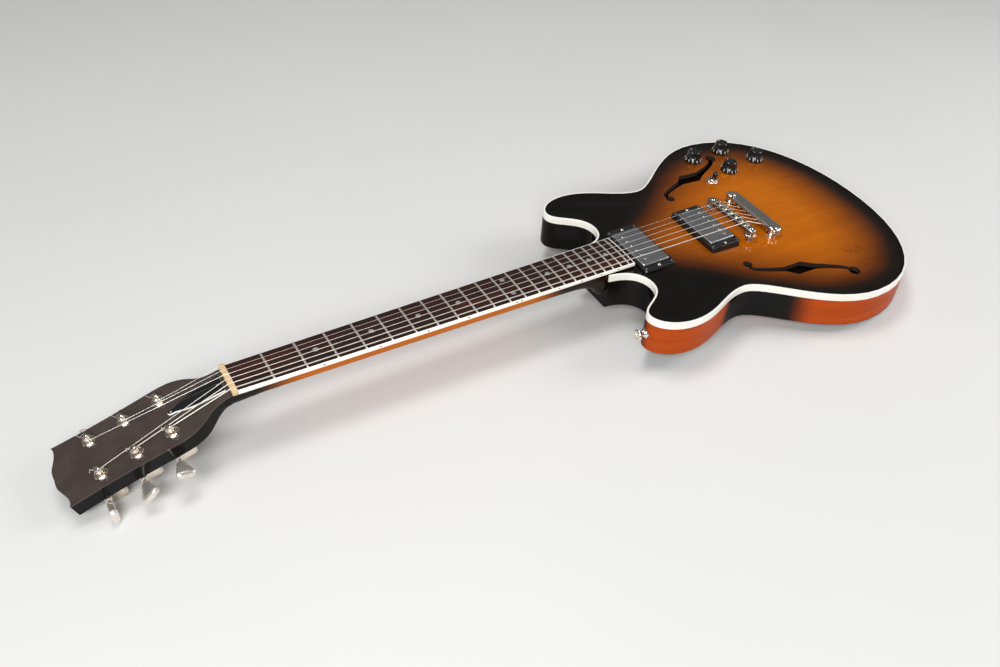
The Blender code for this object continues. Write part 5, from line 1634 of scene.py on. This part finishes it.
def build_stop_bar():
    low, high = TAIL_BAR
    back = TAIL_STUD[0] + TAIL_BAR_BACK
    front = TAIL_STUD[0] - 0.0035
    middle = (front + back) / 2
    half = (back - front) / 2
    rings = []
    shares = (0.5, 0.78, 0.84, 0.90, 0.95, 0.985, 1.0)
    for share in (*(-share for share in reversed(shares)), 0, *shares):
        reach = 1 - abs(share)
        round_end = math.sqrt(max(0.0, 1 - (max(0.0, TAIL_END_ROUND - reach) / TAIL_END_ROUND) ** 2))
        wide = half * max(0.30, round_end)
        top = low + (high - low) * (0.62 + 0.38 * round_end)
        centre = middle - (half - wide) * 0.35
        section = bar_section(wide, low, top)
        rings.append([Vector((centre + x, share * TAIL_BAR_HALF, z)) for x, z in section])
    bar = skin("bar", rings, sharp=50)
    cutters = []
    for side in (-1, 1):
        spot = tail_stud_spot(side)
        cutters.append(rod(0.0046, 0, 0.03, spot))
        cutters.append(block((spot[0] - 0.02, spot[1] - 0.0044, 0), (spot[0], spot[1] + 0.0044, 0.03)))
    for index in range(6):
        aim = set_at((middle, string_y(index, BRIDGE_SPACING), TAIL_HOLE_Z), QUARTER, "Y")
        cutters.append(moved(rod(0.0019, -0.03, 0.03, steps=16), aim))
    piece("stop_bar", cut_away(bar, cutters, 50), BODY_FRAME, NICKEL, nodes=["tailpiece"])


def build_stop_bar_studs():
    low, high = TAIL_BAR
    for number, side in ((1, -1), (2, 1)):
        profile = [(0, 0.0150), (0.0040, 0.0149), (0.0058, 0.0144), (0.0067, 0.0135), (0.0068, 0.0130),
                   (0.0064, high + SEAM), (0.0038, high + SEAM), (0.0038, low - SEAM), (0.0066, low - SEAM),
                   (0.0068, low - 0.0010), (0.0066, 0.0016), (0.0072, 0.0008), (0.0072, 0.0001),
                   (0.0042, 0.0001), (0.0042, -0.0240), (0, -0.0240)]
        stud = turned("stud", profile, 32)
        slot = block((-0.008, -0.0008, 0.0134), (0.008, 0.0008, 0.02))
        slot.transform(Matrix.Rotation(0.5 * side, 4, "Z"))
        place = BODY_FRAME @ Matrix.Translation((*tail_stud_spot(side), 0))
        piece(f"stop_bar_stud_{number}", cut_away(stud, [slot]), place, BRIGHT_NICKEL,
              nodes=[f"tailpiece_stud_{number}"])


# Strings

def post_of(index):
    """A string's post: its station along the headstock, and its side."""
    station = POST_STATIONS[index] if index < 3 else POST_STATIONS[5 - index]
    return station, -1 if index < 3 else 1


def wound_route(index):
    """The string's turns round its post, from the top turn down, in the neck's frame."""
    station, side = post_of(index)
    radius = STRING_RADII[index]
    centre = Vector((-station, side * POST_SIDE))
    nut = Vector((-SEAM - NUT_LONG, string_y(index, NUT_SPACING), nut_height(index)))
    away = (HEAD_IN_NECK.inverted() @ nut).xy - centre
    reach = POST_WAIST + 0.0001 + radius
    start = math.atan2(away.y, away.x) - side * math.acos(reach / away.length)
    low = 0.0031 + radius
    pitch = 2 * radius + 0.00008
    count = 24
    route = []
    for step in range(STRING_TURNS[index] * count + 1):
        angle = start - side * step * 2 * math.pi / count
        z = low + pitch * step / count
        route.append(Vector((centre.x + reach * math.cos(angle), centre.y + reach * math.sin(angle), z)))
    route.reverse()
    return [HEAD_IN_NECK @ point for point in route]


def build_strings():
    ball_ends = []
    for index, radius in enumerate(STRING_RADII):
        route = wound_route(index)
        across = string_y(index, BRIDGE_SPACING)
        for x in (-SEAM - NUT_LONG, -SEAM):
            route.append(Vector((x, string_y(index, NUT_SPACING), nut_height(index))))
        for x in (saddle_x(index) - 0.0004, saddle_x(index) + 0.0004):
            route.append(Vector((x, across, saddle_height(index))))
        front = Vector((TAIL_STUD[0] - 0.0030, across, TAIL_HOLE_Z + 0.0004))
        ball = Vector((TAIL_STUD[0] + TAIL_BAR_BACK - 0.0030, across, TAIL_HOLE_Z))
        route += [BODY_IN_NECK @ front, BODY_IN_NECK @ ball]
        finish = WOUND if index < 3 else PLAIN_STRING
        piece(f"string_wire_{index + 1}", wire("wire", route, radius), NECK_FRAME, finish,
              nodes=[f"string_{index + 1}"])
        profile = [(0.0007, 0.0018), (0.0017, 0.0018), (0.0014, 0), (0.0017, -0.0018), (0.0007, -0.0018)]
        ball_ends.append(moved(turned("ball", profile, 16), set_at(ball, QUARTER, "X")))
    piece("ball_ends", merged("ball_ends", ball_ends), BODY_FRAME, SCREW_STEEL)


# Tuners

def housing_mesh(side):
    """Cast case under the headstock with its bushing nut above, hollow round the gears."""
    back = -VENEER - HEAD_THICK
    middle = (-0.0030, side * 0.0010)
    outline = rounded_rectangle(0.0115, 0.0098, 0.0045, 6, middle)
    low = -VENEER - SEAM - HEAD_THICK - HOUSING_DEEP
    rings = [flat(scaled(outline, inset, middle), low + rise) for inset, rise in rounding(0.0022, 4)]
    rings += [flat(outline, back - 0.0012), flat(scaled(outline, -0.0006, middle), back - 0.0009),
              flat(scaled(outline, -0.0006, middle), back - 0.0001)]
    case = skin("case", rings, sharp=40)
    worm = (-WORM_OFFSET, 0, WORM_Z)
    rooms = [rod(0.0034, WORM_Z, 0.004), rod(0.0072, WORM_Z - 0.0045, WORM_Z + 0.0040)]
    rooms.append(moved(rod(0.0041, -0.0070, 0.0070), set_at(worm, QUARTER, "X")))
    rooms.append(moved(rod(0.0023, 0, 0.0200), set_at(worm, -side * QUARTER, "X")))
    case = cut_away(case, rooms, 40)
    sleeve = cut_away(rod(0.0044, back - 0.001, 0.0010), [rod(0.0034, -0.04, 0.02)])
    washer = turned("washer", [
        (0.0036, 0.0007), (0.0062, 0.0007), (0.0066, 0.0003), (0.0066, 0.0001), (0.0036, 0.0001)], 32)
    nut = plate("nut", [circle(0.0062, steps=6), circle(0.0034)], 0.0007, 0.0026)
    return merged("housing", [case, sleeve, washer, nut], 40)


def post_mesh():
    """String post with its waist, a string hole near the top and its wheel below."""
    profile = [(0, 0.0093), (0.0019, 0.0093), (0.0027, 0.0089), (0.0030, 0.0083), (0.0029, POST_EYE_Z),
               (POST_WAIST, 0.0070), (0.00255, 0.0050), (POST_WAIST, 0.0032), (0.0030, 0.0026),
               (0.0030, WORM_Z - 0.0042), (0, WORM_Z - 0.0042)]
    hole = moved(rod(0.0009, -0.01, 0.01, steps=16), set_at((0, 0, POST_EYE_Z), QUARTER, "Y"))
    post = cut_away(turned("post", profile, 32), [hole])
    outline = []
    for tooth in range(WHEEL_TEETH):
        middle = math.pi + (tooth + 0.5) * 2 * math.pi / WHEEL_TEETH
        root = middle + math.pi / WHEEL_TEETH
        for radius, angle in ((0.00635, middle - 0.05), (0.00635, middle + 0.05), (0.0052, root)):
            outline.append(Vector((radius * math.cos(angle), radius * math.sin(angle))))
    wheel = plate("wheel", [outline, circle(0.0029)], WORM_Z - 0.0015, WORM_Z + 0.0015)
    return merged("post", [post, wheel])


def button_mesh(side, tilt):
    """Worm, shaft and collar, and a button that widens to a faceted end."""
    count = 20
    angles = [step * 2 * math.pi / count for step in range(count)]

    def round_ring(y, radii):
        return [Vector((radius * math.cos(a), side * y, radius * math.sin(a)))
                for radius, a in zip(radii, angles)]

    rings = [round_ring(y, [0.0017] * count) for y in (-0.0062, -0.0044)]
    for step in range(25):
        y = -0.0036 + 0.0072 * step / 24
        rings.append(round_ring(y, [0.00275 + 0.00055 * math.cos(2 * math.pi * side * y / WORM_LEAD - a)
                                    for a in angles]))
    for y, radius in ((0.0044, 0.0019), (0.0112, 0.0019), (0.0113, 0.0030), (0.0118, 0.0033),
                      (0.0128, 0.0033), (0.0133, 0.0030), (0.0134, 0.0021), (0.0150, 0.0019),
                      (0.0172, 0.0021), (0.0183, 0.0026)):
        rings.append(round_ring(y, [radius] * count))
    stem = skin("stem", rings, sharp=40)
    turn = Matrix.Rotation(-tilt, 4, "Y")
    sections = []
    for y, wide, thick, cut in ((0.0176, 0.0022, 0.0018, 0.0007), (0.0188, 0.0042, 0.0025, 0.0009),
                                (0.0205, 0.0050, 0.0028, 0.0010), (0.0330, 0.0085, 0.0034, 0.0011),
                                (0.0345, 0.0086, 0.0034, 0.0011), (0.0370, 0.0066, 0.0022, 0.0009)):
        corners = []
        for up in (1, -1):
            face = [(wide, thick - cut), (wide - 1.6 * cut, thick)]
            face += [(wide * share, thick + CROWN * (1 - share**2)) for share in (0.5, 0.0, -0.5)]
            face += [(-wide + 1.6 * cut, thick), (-wide, thick - cut)]
            corners += [(x, z * up) for x, z in (face if up > 0 else reversed(face))]
        sections.append([turn @ Vector((x, side * y, z)) for x, z in corners])
    grip = temporary(skin("grip", sections, sharp=15))
    eased(grip, 0.00035, 2, 12)
    return merged("button", [stem, applied(grip, 30)], 30)


def string_tail(index):
    """Cut end of the string: out of the hole in the post and bent upward."""
    _, side = post_of(index)
    route = [(0.0, 0.0, POST_EYE_Z), (-0.0030, 0.0012, 0.0077), (-0.0040, 0.0018, 0.0082),
             (-0.0046, 0.0024, 0.0096), (-0.0044 - 0.0004 * index, 0.0032 * side, 0.0112)]
    return wire("tail", smooth_line(route, 4), max(STRING_RADII[index], 0.0002), 2)


def build_tuners():
    cases = {side: housing_mesh(side) for side in (-1, 1)}
    post = post_mesh()
    for index in range(6):
        station, side = post_of(index)
        number = index + 1
        place = HEAD_FRAME @ Matrix.Translation((-station, side * POST_SIDE, 0))
        piece(f"tuner_case_{number}", cases[side].copy(), place, POST_NICKEL,
              nodes=[f"tuner_housing_{number}"])
        piece(f"string_post_{number}", post.copy(), place, POST_NICKEL, body=f"tuner_post_{number}",
              nodes=[f"tuner_post_{number}"])
        piece(f"string_tail_{number}", string_tail(index), place, WOUND if index < 3 else PLAIN_STRING,
              body=f"tuner_post_{number}")
        axis = HEAD_FRAME @ Matrix.Translation((-station - WORM_OFFSET, side * POST_SIDE, WORM_Z))
        piece(f"tuner_key_{number}", button_mesh(side, math.radians(BUTTON_TILTS[index])), axis, KEY_NICKEL,
              body=f"tuner_button_{number}", nodes=[f"tuner_button_{number}"])
    middle = -POST_STATIONS[1] - 0.0115
    screws("tuner_screws", HEAD_FRAME, SCREW_STEEL, 0.0015, 0.0008, (middle, 0, -VENEER - HEAD_THICK),
           (POST_STATIONS[2] - POST_STATIONS[0], 2 * (POST_SIDE - 0.0120)), columns=3, under=True)


# Controls

def dial_numbers():
    """The numbers 0 to 10 round the knob's skirt, lying on its slope."""
    shapes = []
    slope = set_at((0.0, -0.0112, 0.0047), math.radians(66), "X")
    for number in range(DIAL_NUMBERS):
        text = bpy.data.curves.new("number", "FONT")
        text.body = str(number)
        text.size = DIAL_NUMBER_HIGH
        text.align_x = "CENTER"
        text.align_y = "CENTER"
        text.extrude = 0.00006
        text.resolution_u = 2
        turn = Matrix.Rotation(math.radians(DIAL_STEP * number - 150), 4, "Z")
        shapes.append(moved(mesh_of_curve("number", text), turn @ slope))
    return merged("numbers", shapes)


def build_knobs():
    profile = [(0, 0.0140), (0.0062, 0.0140), (0.0066, 0.0146), (0.0072, 0.0152), (0.0080, 0.0152),
               (0.0086, 0.0147), (0.0089, 0.0138), (0.0098, 0.0078), (0.0102, 0.0068), (0.0121, 0.0026),
               (0.0123, 0.0016), (0.0122, 0.0008), (0.0110, 0.0008), (0.0086, 0.0042), (0.0030, 0.0042),
               (0.0030, -0.0060), (0, -0.0060)]
    knob = turned("knob", profile, flutes=24, flute_deep=0.00045, flute_rows=(6, 7), sharp=30)
    numbers = dial_numbers()
    mark = block((0.01035, -0.00032, 0.0001), (0.01250, 0.00032, 0.0003))
    slope = set_at((0.0121, 0, 0.0027), math.radians(65), "Y") @ Matrix.Translation((-0.0121, 0, 0))
    marks = repeated(moved(mark, slope), RING_TREE, MARK_WHITE, Count=DIAL_NUMBERS,
                     First_angle=math.radians(120), Angle_step=math.radians(DIAL_STEP))
    cap = turned("cap", [(0, 0.0142), (0.0060, 0.0142), (0.0062, 0.0138), (0, 0.0136)], 32)
    for number, (spot, turn) in enumerate(zip(KNOBS, KNOB_TURNS), 1):
        place = BODY_FRAME @ set_at((*spot, 0), math.radians(turn))
        body = f"knob_{number}"
        piece(f"control_knob_{number}", knob.copy(), place, KNOB_BLACK, body=body,
              nodes=[body])
        piece(f"knob_numbers_{number}", numbers.copy(), place, MARK_WHITE, body=body)
        piece(f"knob_marks_{number}", marks.copy(), place, MARK_WHITE, body=body)
        piece(f"knob_cap_{number}", cap.copy(), place, BLACK_PLASTIC, body=body)


def build_toggle():
    place = BODY_FRAME @ Matrix.Translation((*TOGGLE, 0))
    washer = turned("washer", [
        (0.0063, 0.0001), (0.0088, 0.0001), (0.0090, 0.0006), (0.0088, 0.0010), (0.0063, 0.0010)], 40)
    nut = turned("nut", [
        (0.0048, 0.0036), (0.0064, 0.0036), (0.0070, 0.0031), (0.0072, 0.0010), (0.0048, 0.0010)],
        flutes=28, flute_deep=0.0003, flute_rows=(2, 3))
    barrel = turned("barrel", [
        (0, -0.0140), (0.0033, -0.0140), (0.0033, -0.0030), (0.0047, 0.0040), (0.0054, 0.0040),
        (0.0058, 0.0034), (0.0058, -TOP_THICK), (0.0080, -TOP_THICK - 0.0003), (0.0080, -0.0270),
        (0, -0.0270)], 32)
    piece("selector_switch", merged("switch", [washer, nut, barrel]), place, BRIGHT_NICKEL,
          nodes=["toggle_switch"])
    lever_place = BODY_FRAME @ set_at((*TOGGLE, LEVER_PIVOT), LEVER_LEAN, "X")
    stem = turned("stem", [
        (0, 0.0110), (0.0013, 0.0108), (0.0014, 0.0028), (0.0024, 0.0018), (0.0030, 0), (0.0026, -0.0015),
        (0.0012, -0.0027), (0.0012, -0.0060), (0, -0.0060)], 20)
    piece("selector_stem", stem, lever_place, BRIGHT_NICKEL, body="toggle_lever", nodes=["toggle_lever"])
    tip = turned("tip", [
        (0, 0.0206), (0.0014, 0.0204), (0.0026, 0.0197), (0.0034, 0.0182), (0.0037, 0.0162), (0.0035, 0.0135),
        (0.0030, 0.0105), (0.0027, 0.0094), (0.0022, 0.0090), (0, 0.0090)], 28)
    piece("selector_tip", tip, lever_place, KNOB_BLACK, body="toggle_lever")


def build_jack():
    rim = BODY_SPANS[5][0][1]
    place = BODY_FRAME @ set_at((JACK_X, rim, JACK_Z), -QUARTER, "X")
    outline = rounded_rectangle(0.0160, 0.0125, 0.0040, 6)
    piece("jack_plate", plate("jack_plate", [outline, circle(0.0045)], 0.0001, JACK_PLATE_TOP), place,
          NICKEL, ease=0.0006, segments=3)
    socket = turned("socket", [
        (0, -0.0230), (0.0033, -0.0230), (0.0033, 0.0043), (0.0036, 0.0045), (0.0048, 0.0045),
        (0.0049, JACK_PLATE_TOP), (0.0056, 0.0010), (0.0056, -0.0250), (0, -0.0250)], 32)
    nut = plate("nut", [circle(0.0074, steps=6), circle(0.0047)], JACK_PLATE_TOP, 0.0040)
    piece("jack_socket_and_nut", merged("jack", [socket, nut]), place, BRIGHT_NICKEL,
          nodes=["output_jack"])
    screws("jack_plate_screws", place, SCREW_STEEL, 0.0014, 0.0008, (0, 0, JACK_PLATE_TOP), (0.0256, 0.0188))


def build_strap_buttons():
    profile = [(0.0022, 0.0112), (0.0030, 0.0120), (0.0056, 0.0120), (0.0066, 0.0112), (0.0069, 0.0102),
               (0.0060, 0.0092), (0.0044, 0.0082), (0.0036, 0.0066), (0.0038, 0.0046), (0.0050, 0.0026),
               (0.0062, 0.0014), (0.0063, 0.0002), (0.0018, 0.0002), (0.0018, -0.0072), (0, -0.0072)]
    horn_x, horn_y = BODY_SPANS[2][0]
    tail_x = BODY_SPANS[-1][-1][0]
    for label, x, y, turn in (("horn", horn_x, -horn_y, -QUARTER), ("tail", tail_x, 0, QUARTER)):
        place = BODY_FRAME @ set_at((x, y, STRAP_Z), turn, "Y")
        button = turned("button", profile, 32)
        screw = moved(screw_head(0.0028, 0.0012, cross=True), Matrix.Translation((0, 0, 0.0106)))
        piece(f"strap_knob_{label}", merged("strap", [button, screw]), place, BRIGHT_NICKEL,
              nodes=[f"strap_button_{label}"])


def dress_inner_parts():
    """Pieces that keep their shape and hardly show: coils, pots and the rod."""
    for name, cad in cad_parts.items():
        if cad.hide_render:
            continue
        cad.data.materials.clear()
        cad.data.materials.append(RAW_STEEL)
        if name in ("neck_pickup_base", "bridge_pickup_base"):
            cad.data.materials[0] = SCREW_STEEL


build_top()
build_binding()
build_back()
build_control_cover()
build_neck()
build_head_face()
build_rod_cover()
build_fingerboard()
build_dots()
build_board_binding()
build_nut()
for pickup in PICKUPS:
    build_pickup(*pickup)
build_bridge_bar()
build_saddles()
build_bridge_posts()
build_stop_bar()
build_stop_bar_studs()
build_strings()
build_tuners()
build_knobs()
build_toggle()
build_jack()
build_strap_buttons()
dress_inner_parts()


# Floor, lights and camera

FLOOR_HALF = 80
SURROUND = 0.17
# Softboxes: name, spot, aim, size and power
SOFTBOXES = (
    ("front_left_softbox", (-1.3, -1.5, 1.5), (0, 0, 0.03), (1.4, 1.0), 48),
    ("right_softbox", (1.7, -0.6, 1.1), (0.1, 0, 0.03), (0.9, 0.9), 14),
    ("overhead_softbox", (-0.2, 0.5, 2.2), (0, 0, 0), (1.2, 0.7), 18),
)
CAMERA_LENS = 34.32
CAMERA_SENSOR = 36
CAMERA_SHIFT = (-0.1207, 0.0277)
CAMERA_SPOT = (-0.46548, -0.73216, 0.74132)
CAMERA_ANGLES = (47.518, -5.463, -34.334)


def build_floor():
    work = bmesh.new()
    bmesh.ops.create_grid(work, x_segments=2, y_segments=2, size=FLOOR_HALF)
    mesh = finished(work, "floor")
    floor = bpy.data.objects.new("floor", mesh)
    bpy.context.scene.collection.objects.link(floor)
    material, tree, shader, where = new_finish("pale_floor")
    colour = blended(tree, noise(tree, where, 3.0, 3.0), srgb(222, 222, 220), srgb(228, 228, 226))
    tree.links.new(colour, shader.inputs["Base Color"])
    shader.inputs["Roughness"].default_value = 0.55
    mesh.materials.append(material)


def soft_light(name, spot, aim, size, power):
    lamp = bpy.data.lights.new(name, "AREA")
    lamp.shape = "RECTANGLE"
    lamp.size = size[0]
    lamp.size_y = size[1]
    lamp.energy = power
    item = bpy.data.objects.new(name, lamp)
    item.location = spot
    item.rotation_mode = "QUATERNION"
    item.rotation_quaternion = (Vector(aim) - Vector(spot)).to_track_quat("-Z", "Y")
    bpy.context.scene.collection.objects.link(item)


def build_lights():
    for softbox in SOFTBOXES:
        soft_light(*softbox)
    world = bpy.data.worlds.new("studio")
    world.use_nodes = True
    background = world.node_tree.nodes["Background"]
    background.inputs["Color"].default_value = (1.0, 1.0, 1.0, 1)
    background.inputs["Strength"].default_value = SURROUND
    bpy.context.scene.world = world


def build_camera():
    camera = bpy.data.cameras.new("camera")
    camera.lens = CAMERA_LENS
    camera.sensor_width = CAMERA_SENSOR
    camera.shift_x, camera.shift_y = CAMERA_SHIFT
    camera.clip_start = 0.01
    item = bpy.data.objects.new("camera", camera)
    item.location = CAMERA_SPOT
    item.rotation_euler = [math.radians(angle) for angle in CAMERA_ANGLES]
    bpy.context.scene.collection.objects.link(item)
    bpy.context.scene.camera = item


build_floor()
build_lights()
build_camera()
bpy.context.scene.view_settings.view_transform = "Standard"
